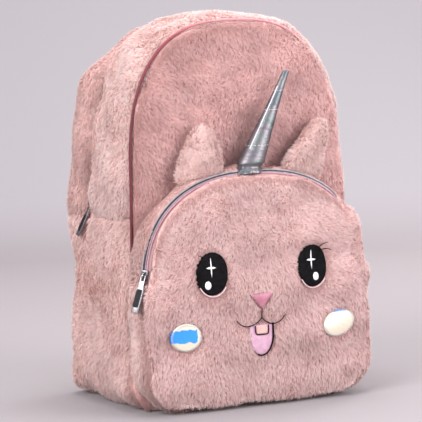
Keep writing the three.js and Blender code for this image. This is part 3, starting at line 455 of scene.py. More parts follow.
def fur(name, shell, count, length, keep, seed, comb=None, width=0.00075, trim=None, shade=1.0, painted_shading=None, material=None):
    """Blades of pile on the kept side of a shell."""
    r = np.random.default_rng(seed)
    data = shell.data
    data.calc_loop_triangles()
    tris = np.zeros(len(data.loop_triangles) * 3, np.int32)
    data.loop_triangles.foreach_get("vertices", tris)
    tris = tris.reshape(-1, 3)
    co, no = coords(shell), normals_of(shell)
    a, b, c = co[tris[:, 0]], co[tris[:, 1]], co[tris[:, 2]]
    cross = np.cross(b - a, c - a)
    area = np.linalg.norm(cross, axis=1) / 2
    weight = area * keep((a + b + c) / 3, unit(cross))
    pick = r.choice(len(tris), count, p=weight / weight.sum())
    u, v = r.random(count), r.random(count)
    flip = u + v > 1
    u[flip], v[flip] = 1 - u[flip], 1 - v[flip]
    w = 1 - u - v
    t = tris[pick]

    def at(values):
        return values[t[:, 0]] * w[:, None] + values[t[:, 1]] * u[:, None] + values[t[:, 2]] * v[:, None]

    root, normal = at(co), unit(at(no))
    size = length * r.uniform(0.8, 1.15, count) * (1 + 0.07 * field(root, 920, 0.02))
    drop = np.ones(count, bool)
    cut = np.ones(count)
    if trim is not None:
        cut = trim(root, normal)
        drop = cut > 0.08
        size = size * np.clip(cut, 0, 1.3)
    root, normal, size, cut = root[drop], normal[drop], size[drop], cut[drop]
    count = len(root)
    way = DOWN + 0.36 * vector_field(root, 900, 0.09) + 0.16 * vector_field(root, 910, 0.02) + 0.15 * vector_field(root, 960, 0.0075)
    if comb is not None:
        way = way + comb(root, normal)
    way = way + 0.36 * r.normal(size=(count, 3))
    way = unit(way - normal * (way * normal).sum(1, keepdims=True))
    lift = np.clip(0.74 + 0.05 * field(root, 930, 0.03) + 0.07 * field(root, 935, 0.006) + 0.08 * r.normal(size=count), 0.35, 0.97)
    side = unit(np.cross(normal, way) + 0.35 * r.normal(size=(count, 3)))
    half = (width * r.uniform(0.7, 1.3, count) / 2)[:, None]
    reach = size[:, None]
    middle = root + reach * 0.5 * (normal * lift[:, None] + way * np.sqrt(1 - lift**2)[:, None])
    low = (lift * 0.42)[:, None]
    tip = middle + reach * 0.5 * (normal * low + way * np.sqrt(1 - low**2))
    root = root - normal * 0.0006
    floor = 0.0004
    for place in (root, middle, tip):
        place[:, 2] = np.maximum(place[:, 2], floor)
    verts = np.stack([root, middle - side * half, middle + side * half, tip], 1)
    base = np.arange(count)[:, None] * 4
    faces = np.stack([base + [0, 2, 1], base + [1, 2, 3]], 1)
    flat = verts.reshape(-1, 3)
    corner = flat[faces]
    facing = np.cross(corner[:, :, 1] - corner[:, :, 0], corner[:, :, 2] - corner[:, :, 0])
    turned = (facing * normal[:, None, :]).sum(2) < 0
    faces[turned] = faces[turned][:, ::-1]
    faces = faces.reshape(-1, 3)
    shading = np.repeat(unit(normal + 0.13 * r.normal(size=(count, 3)) + 0.12 * way)[:, None, :], 4, 1)
    # The third tone channel also carries painted shade. Pile trimmed short at seams, creases and patches is darker, as
    # painted shade in those creases. A shade factor darkens a whole piece, and a per-place function adds painted shade
    # and light.
    mottle_and_shade = np.clip(0.80 + 0.09 * field(root, 940, 0.03) + 0.10 * field(root, 950, 0.005), 0, 1) * shade
    mottle_and_shade *= 0.2 + 0.8 * np.minimum(cut, 1)
    if painted_shading is not None:
        mottle_and_shade = np.clip(mottle_and_shade * painted_shading(root), 0, 1)
    tone = np.zeros((count, 4, 4), np.float32)
    tone[:, 0, 0], tone[:, 1:3, 0], tone[:, 3, 0] = 0.2, 0.62, 1.0
    tone[:, :, 1] = r.random(count)[:, None]
    tone[:, :, 2] = mottle_and_shade[:, None]
    tone[:, :, 3] = 1

    mesh = bpy.data.meshes.new(name)
    mesh.vertices.add(count * 4)
    mesh.vertices.foreach_set("co", verts.astype(np.float32).ravel())
    mesh.loops.add(len(faces) * 3)
    mesh.loops.foreach_set("vertex_index", faces.astype(np.int32).ravel())
    mesh.polygons.add(len(faces))
    mesh.polygons.foreach_set("loop_start", np.arange(0, len(faces) * 3, 3, dtype=np.int32))
    mesh.update()
    mesh.materials.append(material or FUR)
    layer = mesh.color_attributes.new("fur", "FLOAT_COLOR", "POINT")
    layer.data.foreach_set("color", tone.ravel())
    mesh.shade_smooth()
    mesh.normals_split_custom_set_from_vertices(shading.reshape(-1, 3).astype(np.float32))
    made = bpy.data.objects.new(name, mesh)
    bpy.context.scene.collection.objects.link(made)
    settle(made, ())
    return made


# The plush shells

SHELLS = {}


def plush(node, amount=0.0012, wavelength=0.07, seed=3):
    shell = copy_node(node, f"{node}_shell", BACKING)
    if amount:
        lump(shell, amount, wavelength, seed)
    settle(shell, [node])
    SHELLS[node] = shell
    return shell


for i, node in enumerate(
    [
        "front_gusset",
        "rear_gusset",
        "lower_gusset",
        "front_panel",
        "back_panel",
        "pocket_face",
        "pocket_top_gusset",
        "pocket_lower_gusset",
        "ear_left",
        "ear_right",
    ]
):
    plush(node, seed=100 + i, amount=0.0006 if node.startswith("ear") else 0.0013)


def rise(values, low, high):
    """0 below low, 1 above high and smooth between them."""
    t = np.clip((values - low) / (high - low), 0, 1)
    return t * t * (3 - 2 * t)


ZIP_SHIFT = 0.013


def zip_shift(z):
    """How far forward of its CAD plane the main zip runs above the slider."""
    return ZIP_SHIFT * rise(z, 0.222, 0.275)


def moved_forward(co):
    """The zip and the cloth beside it moved forward above the slider."""
    co = co.copy()
    co[:, 1] -= zip_shift(co[:, 2]) * np.exp(-(((co[:, 1] - ZIP_PLANE) / 0.034) ** 2))
    return co


def settled(co):
    """How the filled bag stands: full rear corners, a sagging rear top and a drawn-in side at +X."""
    co = co.copy()
    x, y, z = co.T
    outer = rise(np.abs(x), 0.085, 0.12)
    rear = rise(y, 0.028, 0.068)
    wide = 0.0062 * rear * outer * (1 - rise(z, 0.23, 0.31))
    hollow = 0.0045 * rise(y, 0.034, 0.06) * outer * np.exp(-(((z - 0.188) / 0.028) ** 2))
    corner = rear * outer * (1 - rise(z, 0.004, 0.05))
    co[:, 0] += np.sign(x) * (wide + hollow + 0.004 * corner)
    co[:, 0] -= 0.0062 * rise(x, 0.03, 0.105) * rise(z, 0.17, 0.27)
    co[:, 2] -= 0.009 * rise(z, 0.33, 0.38) * rise(-x, 0.0, 0.05) * rise(y, 0.022, 0.06)
    co[:, 2] -= 0.005 * corner * rise(z, 0.0, 0.02)
    away = np.stack([x, np.zeros(len(x)), z - np.clip(z, 0.1, 0.24)], 1)
    away = unit(away + 1e-9)
    edge = rise(np.hypot(away[:, 0], away[:, 2]), 0.5, 0.9) * rise(np.abs(x) + np.clip(z - 0.3, 0, 1), 0.08, 0.1)
    beside = np.abs(y - ZIP_PLANE)
    valley = -0.0115 * np.exp(-((beside / 0.0085) ** 2)) + 0.0045 * np.exp(-(((beside - 0.019) / 0.011) ** 2))
    valley *= rise(z, ZIP_END - 0.004, ZIP_END + 0.02)
    crest = 0.003 * np.exp(-(((y + 0.062) / 0.009) ** 2)) * rise(x, 0.02, 0.09) * rise(z, 0.2, 0.26)
    seam = -0.0035 * np.exp(-(((y - FRONT_SEAM) / 0.006) ** 2)) * (1 - rise(z, 0.13, 0.17))
    shoulder = 0.0075 * np.exp(-(((z - 0.341) / 0.028) ** 2)) * rise(y, 0.024, 0.05) * rise(-x, 0.06, 0.1)
    co += away * ((valley + crest + seam) * edge * (np.abs(y) < 0.0745) + shoulder)[:, None]
    co[:, 2] = np.maximum(co[:, 2], 0.0006)
    return moved_forward(co)


for node in ("front_gusset", "rear_gusset", "lower_gusset", "front_panel", "back_panel"):
    set_coords(SHELLS[node], settled(coords(SHELLS[node])))


def draw_in(shell):
    """The pocket's side is drawn in at its seam with the bag."""
    co = coords(shell)
    near = np.exp(-(((co[:, 1] - FRONT_SEAM) / 0.007) ** 2)) * rise(np.abs(co[:, 0]), 0.08, 0.11)
    co[:, 0] -= np.sign(co[:, 0]) * 0.004 * near * (1 - rise(co[:, 2], 0.12, 0.17))
    set_coords(shell, co)


draw_in(SHELLS["pocket_lower_gusset"])

# Each ear seen from the front: height, left edge and right edge, in millimetres
EAR_OUTLINES = {
    "left": [
        (222, -77, -32),
        (232, -80, -31),
        (241, -80.5, -30.5),
        (250, -80, -30.5),
        (264, -75, -33),
        (273, -70.5, -36),
        (281, -66.5, -39),
        (286, -63.5, -41),
        (290, -61, -43),
        (291.5, -59, -45),
    ],
    "right": [
        (228, 36, 84),
        (240, 36, 86),
        (245, 35.5, 87.5),
        (256, 42.5, 89),
        (265, 50, 90),
        (278, 62, 92),
        (287, 70, 92.5),
        (291, 74.5, 91.5),
        (293.5, 77, 90),
    ],
}
EAR_PILE = 3.2
EAR_FOOT = 225.0


def shape_ear(side):
    """The ear takes the outline seen in the photograph, and its foot stands behind the pocket's zip."""
    shell = SHELLS[f"ear_{side}"]
    co = coords(shell)
    high, left, right = np.array(EAR_OUTLINES[side], float).T
    low, top = co[:, 2].min(), co[:, 2].max()
    share = (co[:, 2] - low) / (top - low)
    steps = np.linspace(0, 1, 25)
    near = [np.abs(share - step) < 0.03 for step in steps]
    old_left = np.interp(share, steps, [co[n, 0].min() for n in near])
    old_right = np.interp(share, steps, [co[n, 0].max() for n in near])
    across = np.clip((co[:, 0] - old_left) / np.maximum(old_right - old_left, 1e-4), 0, 1)
    foot, tip = EAR_FOOT, high[-1] - EAR_PILE
    z = foot + share * (tip - foot)
    a, b = np.interp(z, high, left + EAR_PILE), np.interp(z, high, right - EAR_PILE)
    b = np.maximum(b, a + 6)
    co[:, 0] = (a + across * (b - a)) * MM
    co[:, 2] = z * MM
    co[:, 1] += 0.004 * np.clip(1 - 1.6 * share, 0, 1)
    set_coords(shell, co)


shape_ear("left")
shape_ear("right")


def surface(shell):
    graph = bpy.context.evaluated_depsgraph_get()
    return BVHTree.FromObject(shell, graph)


FACE_TREE = surface(SHELLS["pocket_face"])


def face_y(x, z):
    hit = FACE_TREE.ray_cast(Vector((x, -0.3, z)), Vector((0, 1, 0)))
    return hit[0].y if hit[0] else POCKET_RIM


# Places of the patches, from the CAD nodes that they stand for
def middle_of(node):
    low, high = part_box(node)
    return (low + high) / 2, (high - low)


HEADGEAR = [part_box("ear_left"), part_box("ear_right")]
horn_low, horn_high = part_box("horn")
HEADGEAR.append((horn_low, Vector((horn_low.x + 0.032, horn_high.y, horn_high.z))))

PATCH_OVALS = []
for node in ("eye_left", "eye_right", "cheek_left", "cheek_right"):
    place, extent = middle_of(node)
    PATCH_OVALS.append((place.x, place.z, extent.x / 2, extent.z / 2))
NOSE_PLACE, NOSE_SIZE = middle_of("nose")
TONGUE_PLACE, TONGUE_SIZE = middle_of("tongue")

MOUTH_TOP = NOSE_PLACE.z - NOSE_SIZE.z / 2
MOUTH = {
    "line": [(0, MOUTH_TOP + 0.001), (0, MOUTH_TOP - 0.009)],
    "left": [(0, MOUTH_TOP - 0.008), (-0.004, MOUTH_TOP - 0.0125), (-0.0105, MOUTH_TOP - 0.0155), (-0.018, MOUTH_TOP - 0.0165), (-0.0245, MOUTH_TOP - 0.014), (-0.0285, MOUTH_TOP - 0.0095)],
    "right": [(0, MOUTH_TOP - 0.008), (0.004, MOUTH_TOP - 0.0125), (0.0105, MOUTH_TOP - 0.0155), (0.017, MOUTH_TOP - 0.015), (0.0225, MOUTH_TOP - 0.0115), (0.0255, MOUTH_TOP - 0.007)],
}

MOUTH = {key: [(NOSE_PLACE.x + x - 0.001, z - 0.0016) for x, z in line] for key, line in MOUTH.items()}


def keep_outside(normal_axis):
    return lambda p, n: (n @ np.array(normal_axis) > 0.05).astype(float)


def around(p, n):
    """The outer side of a gusset: its normal points away from the bag's middle line."""
    out = np.stack([p[:, 0], np.zeros(len(p)), p[:, 2] - np.clip(p[:, 2], 0.1, 0.24)], 1)
    return ((n * unit(out + 1e-9)).sum(1) > 0.15).astype(float)


def away_from_floor(p, n):
    return np.where((n[:, 2] < -0.75) & (p[:, 2] < 0.02), 0.12, 1.0)


def near_seam(distance, full):
    """0 at a seam and 1 from a full distance on."""
    return np.clip(distance / full, 0, 1)


def panel_edge_distance(p, half_width, height, spring, roundness):
    """How far a point lies inside an arched outline, roughly."""
    x = np.abs(p[:, 0]) / half_width
    z = np.clip((p[:, 2] - spring) / (height - spring), 0, None)
    share = (x**roundness + z**roundness) ** (1 / roundness)
    return np.minimum(1 - share, 1) * half_width


def trim_panel(p, n):
    edge = panel_edge_distance(p, 0.1225, 0.397, 0.24, 2.6)
    return 0.3 + 0.7 * near_seam(edge, 0.008)


def beside_zip(p):
    return p[:, 1] - ZIP_PLANE + zip_shift(p[:, 2])


def painted_shading_gusset(p):
    """Painted shade and light on the gusset pile: darker in the crease of the main zip, beside the front seam and on
    the rear roll, with a painted highlight on the front roll beside the zip.
    """
    beside = beside_zip(p)
    reach = np.where(beside > 0, 0.0125, 0.003)
    above = rise(p[:, 2], ZIP_END - 0.004, ZIP_END + 0.01)
    crease = 0.8 * np.exp(-((beside / reach) ** 2)) * above
    low = 1 - rise(p[:, 2], 0.11, 0.145)
    seam = (0.25 + 0.4 * low) * np.exp(-(((p[:, 1] - FRONT_SEAM) / 0.007) ** 2)) * rise(-p[:, 0], 0.0, 0.08)
    rear = 0.32 * rise(beside, 0.0, 0.03) * above
    front_roll_highlight = 0.12 * np.exp(-(((beside + 0.014) / 0.009) ** 2)) * above
    return (1 - crease) * (1 - seam) * (1 - rear) * (1 + front_roll_highlight)


def trim_gusset(p, n):
    front = near_seam(p[:, 1] - FRONT_SEAM, 0.008)
    back = near_seam(BACK_SEAM - p[:, 1], 0.01)
    slit = np.where(p[:, 2] > ZIP_END - 0.004, near_seam(np.abs(beside_zip(p)) - 0.005, 0.008), 1)
    seam = near_seam(np.abs(p[:, 2] - ZIP_END), 0.004)
    low = 1 - rise(p[:, 2], 0.13, 0.16)
    crease = 1 - 0.8 * low * (1 - near_seam(p[:, 1] - FRONT_SEAM, 0.007))
    crest = 1 + 0.3 * rise(p[:, 0], 0.0, 0.08) * np.exp(-(((p[:, 1] + 0.064) / 0.01) ** 2)) * rise(p[:, 2], 0.19, 0.24)
    return np.minimum((0.8 + 0.2 * front) * (0.5 + 0.5 * back) * (0.16 + 0.84 * slit) * (0.7 + 0.3 * seam) * crease * crest, 1.3)


def comb_gusset(p, n):
    """The pile beside the main zip lies away from it."""
    away = np.sign(beside_zip(p)) * np.exp(-((beside_zip(p) / 0.014) ** 2))
    away = np.where(p[:, 2] > ZIP_END - 0.004, away, 0)
    return np.stack([np.zeros(len(p)), 1.2 * away, np.zeros(len(p))], 1)


def trim_pocket(p, n):
    front = np.where(p[:, 2] > 0.137, near_seam(p[:, 1] + 0.1065, 0.007), 1)
    keep = 0.55 + 0.45 * front
    low_side = 1 - rise(p[:, 2], 0.13, 0.16)
    keep *= 1 - 0.8 * low_side * (1 - near_seam(FRONT_SEAM - p[:, 1], 0.007))
    keep *= 1 - 0.6 * low_side * (1 - near_seam(np.abs(p[:, 1] + 0.111), 0.005))
    keep *= 1 - 0.75 * rise(p[:, 2], 0.18, 0.215)
    for low, high in HEADGEAR:
        near = (p[:, 0] > low.x - 0.001) & (p[:, 0] < high.x + 0.001) & (p[:, 1] < high.y) & (p[:, 2] > 0.15)
        keep = np.where(near, np.minimum(keep, 0.3), keep)
    return keep


def painted_shading_pocket(p):
    """Painted shade on the pocket's side: the pile is darker at its two creases."""
    low = 1 - rise(p[:, 2], 0.11, 0.145)
    behind = 0.5 * low * np.exp(-(((p[:, 1] - FRONT_SEAM) / 0.007) ** 2))
    ahead = 0.4 * low * np.exp(-(((p[:, 1] + 0.111) / 0.004) ** 2))
    return (1 - behind) * (1 - ahead)


def line_distance(p, points):
    best = np.full(len(p), 1.0)
    q = np.stack([p[:, 0], p[:, 2]], 1)
    for a, b in zip(points[:-1], points[1:]):
        a, b = np.array(a), np.array(b)
        ab = b - a
        t = np.clip(((q - a) @ ab) / (ab @ ab), 0, 1)
        best = np.minimum(best, np.linalg.norm(q - (a + t[:, None] * ab), axis=1))
    return best


ZIP_HIDDEN = 0.098


def painted_shading_face(p):
    """Painted shade and light on the face pile: a little darker just beside the zip, and lighter towards the bottom.
    """
    edge = panel_edge_distance(p, 0.1235, 0.239, 0.124, 2.4)
    return 1 - 0.15 * np.exp(-((edge / 0.006) ** 2)) + 0.12 * (1 - rise(p[:, 2], 0.03, 0.12))


def painted_shading_panel(p):
    """Painted shade and light on the panel pile: darker beside the gusset, most of all at -X, with painted shadows at
    the left of the ears and the horn, and lighter towards +X.
    """
    edge = panel_edge_distance(p, 0.1225, 0.397, 0.24, 2.6)
    side = 0.12 + 0.88 * rise(-p[:, 0], -0.05, 0.06)
    keep = (1 - 0.45 * side * np.exp(-((edge / 0.022) ** 2))) * (0.96 + 0.16 * rise(p[:, 0], -0.02, 0.09))
    for line, strength in PANEL_SHADOWS:
        keep *= 1 - strength * np.exp(-((line_distance(p, line) / 0.012) ** 2))
    return keep


# Lines of painted shadow on the panel, along the left edges of the ears and the horn, with their strength
PANEL_SHADOWS = [([(left * MM, z * MM) for z, left, right in EAR_OUTLINES["left"]], 0.40)]
PANEL_SHADOWS.append(([(left * MM, z * MM) for z, left, right in EAR_OUTLINES["right"]], 0.40))
PANEL_SHADOWS.append(([(horn_low.x + 0.002, 0.246), (horn_low.x + 0.028, 0.300)], 0.35))


def trim_face(p, n):
    keep = np.ones(len(p))
    for x, z, rx, rz in PATCH_OVALS:
        share = np.sqrt(((p[:, 0] - x) / rx) ** 2 + ((p[:, 2] - z) / rz) ** 2)
        far = (share - 1) * min(rx, rz)
        keep = np.minimum(keep, np.where(far < -0.0005, 0, 0.45 + 0.55 * near_seam(far, 0.007)))
    for line in MOUTH.values():
        far = line_distance(p, line)
        keep = np.minimum(keep, np.where(far < 0.001, 0, 0.5 + 0.5 * near_seam(far, 0.006)))
    x, z = p[:, 0] - NOSE_PLACE.x, (p[:, 2] - NOSE_PLACE.z) / (NOSE_SIZE.z / 2)
    inside = (np.abs(z) < 1.05) & (np.abs(x) < NOSE_SIZE.x / 2 * (1.1 + z) / 2)
    keep = np.where(inside, 0, keep)
    x, z = p[:, 0] - TONGUE_PLACE.x, p[:, 2] - TONGUE_PLACE.z
    inside = (np.abs(x) < TONGUE_SIZE.x / 2 * 1.02) & (z > -TONGUE_SIZE.z / 2) & (z < TONGUE_SIZE.z / 2 + 0.001)
    inside &= (z > 0) | ((x / (TONGUE_SIZE.x / 2)) ** 2 + (z / (TONGUE_SIZE.z / 2)) ** 2 < 1.05)
    keep = np.where(inside, 0, keep)
    edge = np.where(p[:, 2] > 0.137, panel_edge_distance(p, 0.1235, 0.239, 0.124, 2.4), 1)
    edge = np.where(p[:, 0] > ZIP_HIDDEN, 1, edge)
    return keep * (0.3 + 0.7 * near_seam(edge, 0.009))


def visible_panel(p, n):
    behind = panel_edge_distance(p, 0.114, 0.228, 0.124, 2.4) > 0
    return (n[:, 1] < -0.05) * np.where(behind, 0.01, 1.0)


def both(*tests):
    def keep(p, n):
        value = np.ones(len(p))
        for test in tests:
            value = value * test(p, n)
        return value

    return keep


SCALE = 1.0


def blades(count):
    return int(count * SCALE)


def comb_face(p, n):
    """The face's pile is brushed away from its middle, and inward along the zip."""
    out = np.stack([p[:, 0] - 0.0, np.zeros(len(p)), p[:, 2] - 0.13], 1)
    edge = panel_edge_distance(p, 0.1235, 0.239, 0.124, 2.4)
    inward = 2.6 * np.exp(-((np.clip(edge, 0, 1) / 0.009) ** 2)) * rise(p[:, 2], 0.12, 0.15)
    inward *= p[:, 0] < ZIP_HIDDEN
    return unit(out) * (0.5 - inward)[:, None]


WIDE = 1.0 if SCALE == 1.0 else 1.6

fur("front_panel_fur", SHELLS["front_panel"], blades(66000), 0.0068, visible_panel, 11, trim=trim_panel, painted_shading=painted_shading_panel, width=0.0008 * WIDE, shade=0.88, material=PANEL_FUR_PAINTED_SHADE)
fur("front_gusset_fur", SHELLS["front_gusset"], blades(72000), 0.0058, around, 12, comb=comb_gusset, trim=trim_gusset, painted_shading=painted_shading_gusset, width=0.0008 * WIDE, material=ROLL_FUR_PAINTED_LIGHT)
fur("rear_gusset_fur", SHELLS["rear_gusset"], blades(38000), 0.0058, around, 13, comb=comb_gusset, trim=trim_gusset, painted_shading=painted_shading_gusset, width=0.0008 * WIDE)
fur("lower_gusset_fur", SHELLS["lower_gusset"], blades(70000), 0.0064, both(around, away_from_floor), 14, trim=trim_gusset, painted_shading=painted_shading_gusset, width=0.0008 * WIDE)
fur("pocket_face_fur", SHELLS["pocket_face"], blades(80000), 0.0068, keep_outside((0, -1, 0)), 15, comb=comb_face, trim=trim_face, painted_shading=painted_shading_face, width=0.0008 * WIDE, material=FACE_FUR)
# The pocket's top side is darkened as painted shadow.
fur("pocket_top_fur", SHELLS["pocket_top_gusset"], blades(16000), 0.0072, around, 16, trim=trim_pocket, width=0.0008 * WIDE, shade=0.66)
fur("pocket_lower_fur", SHELLS["pocket_lower_gusset"], blades(22000), 0.0072, both(around, away_from_floor), 17, trim=trim_pocket, painted_shading=painted_shading_pocket, width=0.0008 * WIDE)
fur("back_panel_fur", SHELLS["back_panel"], blades(24000), 0.0072, keep_outside((0, 1, 0)), 18, trim=trim_panel, width=0.0013 * WIDE)


def pocket_top(x):
    """Height of the pocket's arched outline over x."""
    return 0.124 + 0.120 * (1 - np.clip(np.abs(x) / 0.1275, 0, 1) ** 2.4) ** (1 / 2.4)


def trim_ear(p, n):
    above = p[:, 2] - pocket_top(p[:, 0])
    return np.where(above < 0.0005, 0, 0.45 + 0.55 * near_seam(above, 0.008))


def comb_up(p, n):
    return np.array([0.0, 0.0, 1.2]) * np.ones((len(p), 1))


for i, side in enumerate(("left", "right")):
    fur(f"ear_{side}_fur", SHELLS[f"ear_{side}"], blades(11000), 0.0072, lambda p, n: np.ones(len(p)), 30 + i, comb=comb_up, trim=trim_ear, width=0.0007 * WIDE, shade=0.82)


# Piping and zips

def tube(name, points, radius, material, sides=8, closed=False):
    points = np.asarray(points, float)
    ahead = np.roll(points, -1, 0) - points
    ahead[-1] = ahead[-2]
    behind = points - np.roll(points, 1, 0)
    behind[0] = ahead[0]
    tangent = unit(unit(ahead) + unit(behind))
    radius = np.broadcast_to(np.asarray(radius, float), (len(points),))
    verts, faces = [], []
    up = np.array([0.0, 1.0, 0.0])
    for p, t, r in zip(points, tangent, radius):
        s = np.cross(up, t)
        if np.linalg.norm(s) < 1e-3:
            s = np.cross([1.0, 0, 0], t)
        s /= np.linalg.norm(s)
        q = np.cross(t, s)
        for k in range(sides):
            angle = 2 * math.pi * k / sides
            verts.append(p + r * (s * math.cos(angle) + q * math.sin(angle)))
    for i in range(len(points) - 1):
        for k in range(sides):
            n = (k + 1) % sides
            faces.append((i * sides + k, i * sides + n, (i + 1) * sides + n, (i + 1) * sides + k))
    faces.append(tuple(range(sides))[::-1])
    faces.append(tuple((len(points) - 1) * sides + k for k in range(sides)))
    return new_object(name, verts, faces, material)


def arch_line(width, shoulder, height, spring, corner, roundness, floor, start, y, offset, step=0.004):
    """Points along an arched outline from a height on one side over the top to the other side."""
    half = [(-width / 2 + corner - corner * math.sin(t), floor + corner - corner * math.cos(t)) for t in np.linspace(0, math.pi / 2, 14)]
    half += [(-shoulder / 2 * math.cos(t) ** (2 / roundness), spring + (height - spring) * math.sin(t) ** (2 / roundness)) for t in np.linspace(0, math.pi / 2, 60)]
    line = np.array(half + [(-x, z) for x, z in half[-2::-1]])
    keep = line[:, 1] >= floor + 1e-6
    line = line[keep]
    run = np.concatenate([[0], np.cumsum(np.linalg.norm(np.diff(line, axis=0), axis=1))])
    left = len(line) // 2
    begin = np.interp(start, line[:left, 1], run[:left])
    end = run[-1] - begin
    s = np.arange(begin, end, step)
    x, z = np.interp(s, run, line[:, 0]), np.interp(s, run, line[:, 1])
    out = np.stack([-np.gradient(z), np.gradient(x)], 1)
    out = out / np.linalg.norm(out, axis=1, keepdims=True)
    offset = np.broadcast_to(offset, s.shape)
    return np.stack([x + out[:, 0] * offset, np.broadcast_to(y, s.shape), z + out[:, 1] * offset], 1)


BAG_LINE = dict(width=0.252, shoulder=0.241, height=0.397, spring=0.24, corner=0.028, roundness=2.6, floor=0.0)
POCKET_LINE = dict(width=0.257, shoulder=0.255, height=0.244, spring=0.124, corner=0.042, roundness=2.4, floor=0.003)

piping_line = arch_line(**BAG_LINE, start=0.102, y=FRONT_SEAM - 0.0028, offset=0.0026)
piping_line[:, 1] += 0.0035 * rise(piping_line[:, 0], 0.06, 0.1)
piping_size = 0.0016 - 0.0006 * rise(piping_line[:, 0], -0.1, -0.03)
piping = tube("front_piping_cord", settled(piping_line), piping_size, PIPING)
settle(piping, ["front_piping"])


def strip(name, inner, outer, material, thick=0.0008):
    """A thin band between two lines of equal count."""
    inner, outer = np.asarray(inner), np.asarray(outer)
    count = len(inner)
    along = np.gradient(inner, axis=0)
    normal = unit(np.cross(along, outer - inner)) * thick
    verts = np.concatenate([inner, outer, outer + normal, inner + normal])
    faces = []
    for i in range(count - 1):
        for a, b in ((0, 1), (1, 2), (2, 3), (3, 0)):
            faces.append((a * count + i, b * count + i, b * count + i + 1, a * count + i + 1))
    faces.append((0, 3 * count, 2 * count, count))
    faces.append((count - 1, 2 * count - 1, 3 * count - 1, 4 * count - 1))
    return new_object(name, verts, faces, material)


def pocket_at(offset, y, start=0.1375, step=0.003):
    line = arch_line(**POCKET_LINE, start=start, y=y, offset=offset, step=step)
    line[:, 1] += 0.004 * rise(line[:, 0], 0.085, 0.108)
    return line


zip_tape = strip("pocket_zip_tape", pocket_at(-0.0082, -0.1124), pocket_at(0.0, -0.1066), BACKING)
settle(zip_tape, ["pocket_zip"])
zip_trim = tube("pocket_trim_cord", pocket_at(-0.0034, -0.1114), 0.0009, LILAC, 6)
settle(zip_trim, ())


settle(tube("pocket_zip_gap", pocket_at(-0.0009, -0.1087), 0.0008, DARK, 6), ())
settle(tube("pocket_zip_edge", pocket_at(0.0002, -0.1076), 0.0008, ZIP_SILVER, 6), ())
settle(tube("pocket_zip_teeth", pocket_at(-0.0021, -0.1100), 0.0006, ZIP_SILVER, 6), ())


# A dark rose cord in the crease of the main zip, between the two rolls, as painted shade in that crease
crease_shade_line = arch_line(**BAG_LINE, start=0.224, y=ZIP_PLANE + 0.003, offset=0.0052)
crease_shade_line[:, 0] -= 0.0062 * rise(crease_shade_line[:, 0], 0.03, 0.105)
settle(tube("main_zip_crease_shade", moved_forward(crease_shade_line), 0.0013, ZIP_CREASE_SHADE, 6), ())


# Hardware keeps the CAD shapes with rounded edges
for node, body in (
    ("main_slider", BODY),
    ("pocket_slider", BODY),
    ("main_pull", "main_pull_body"),
    ("pocket_pull", "pocket_pull_body"),
):
    piece = copy_node(node, f"{node}_metal", CHROME, levels=0)
    edge = piece.modifiers.new("edge", "BEVEL")
    edge.width = 0.0003
    edge.segments = 2
    edge.limit_method = "ANGLE"
    apply_modifiers(piece)
    piece.data.shade_smooth()
    settle(piece, [node], body)


def inlay(node, body, share=(0.14, 0.62), wide=0.62):
    """A dark panel set in the front of a pull's plate."""
    co = coords(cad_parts[node])
    middle = co.mean(0)
    ways = np.linalg.svd(co - middle)[2]
    long, across, out = ways
    long = long * (-1 if long[2] > 0 else 1)
    out = out * (-1 if out @ np.array([-1.0, -0.6, 0]) < 0 else 1)
    run = (co - middle) @ long
    half = np.abs((co - middle) @ across).max() * wide
    face = ((co - middle) @ out).max() + 0.00015
    ends = [run.max() - (run.max() - run.min()) * v for v in share]
    rim = []
    for t in np.linspace(0, 2 * math.pi, 32, endpoint=False):
        u = np.sign(math.cos(t)) * abs(math.cos(t)) ** 0.3
        v = np.sign(math.sin(t)) * abs(math.sin(t)) ** 0.3
        rim.append((u, v))
    verts = []
    for deep in (0.0, 0.0005):
        for u, v in rim:
            along = (ends[0] + ends[1]) / 2 + v * (ends[0] - ends[1]) / 2
            verts.append(middle + long * along + across * half * u + out * (face - deep))
    n = len(rim)
    faces = [tuple(range(n)), tuple(range(2 * n - 1, n - 1, -1))]
    faces += [(i, i + n, (i + 1) % n + n, (i + 1) % n) for i in range(n)]
    made = new_object(f"{node}_inlay", verts, faces, SMOKED, smooth=False)
    face_out(made)
    settle(made, (), body)


def face_out(obj):
    work = bmesh.new()
    work.from_mesh(obj.data)
    bmesh.ops.recalc_face_normals(work, faces=work.faces)
    work.to_mesh(obj.data)
    work.free()


inlay("main_pull", "main_pull_body")
inlay("pocket_pull", "pocket_pull_body")


# Horn

HORN_STITCHES = (0.28, 0.62, 0.81)
HORN_SEAM = 24


def join(name, pieces):
    """Makes one object of several that share a material."""
    work = bmesh.new()
    for piece in pieces:
        work.from_mesh(piece.data)
    data = bpy.data.meshes.new(name)
    work.to_mesh(data)
    work.free()
    data.materials.append(pieces[0].data.materials[0])
    data.shade_smooth()
    for piece in pieces:
        bpy.data.objects.remove(piece)
    made = bpy.data.objects.new(name, data)
    bpy.context.scene.collection.objects.link(made)
    return made


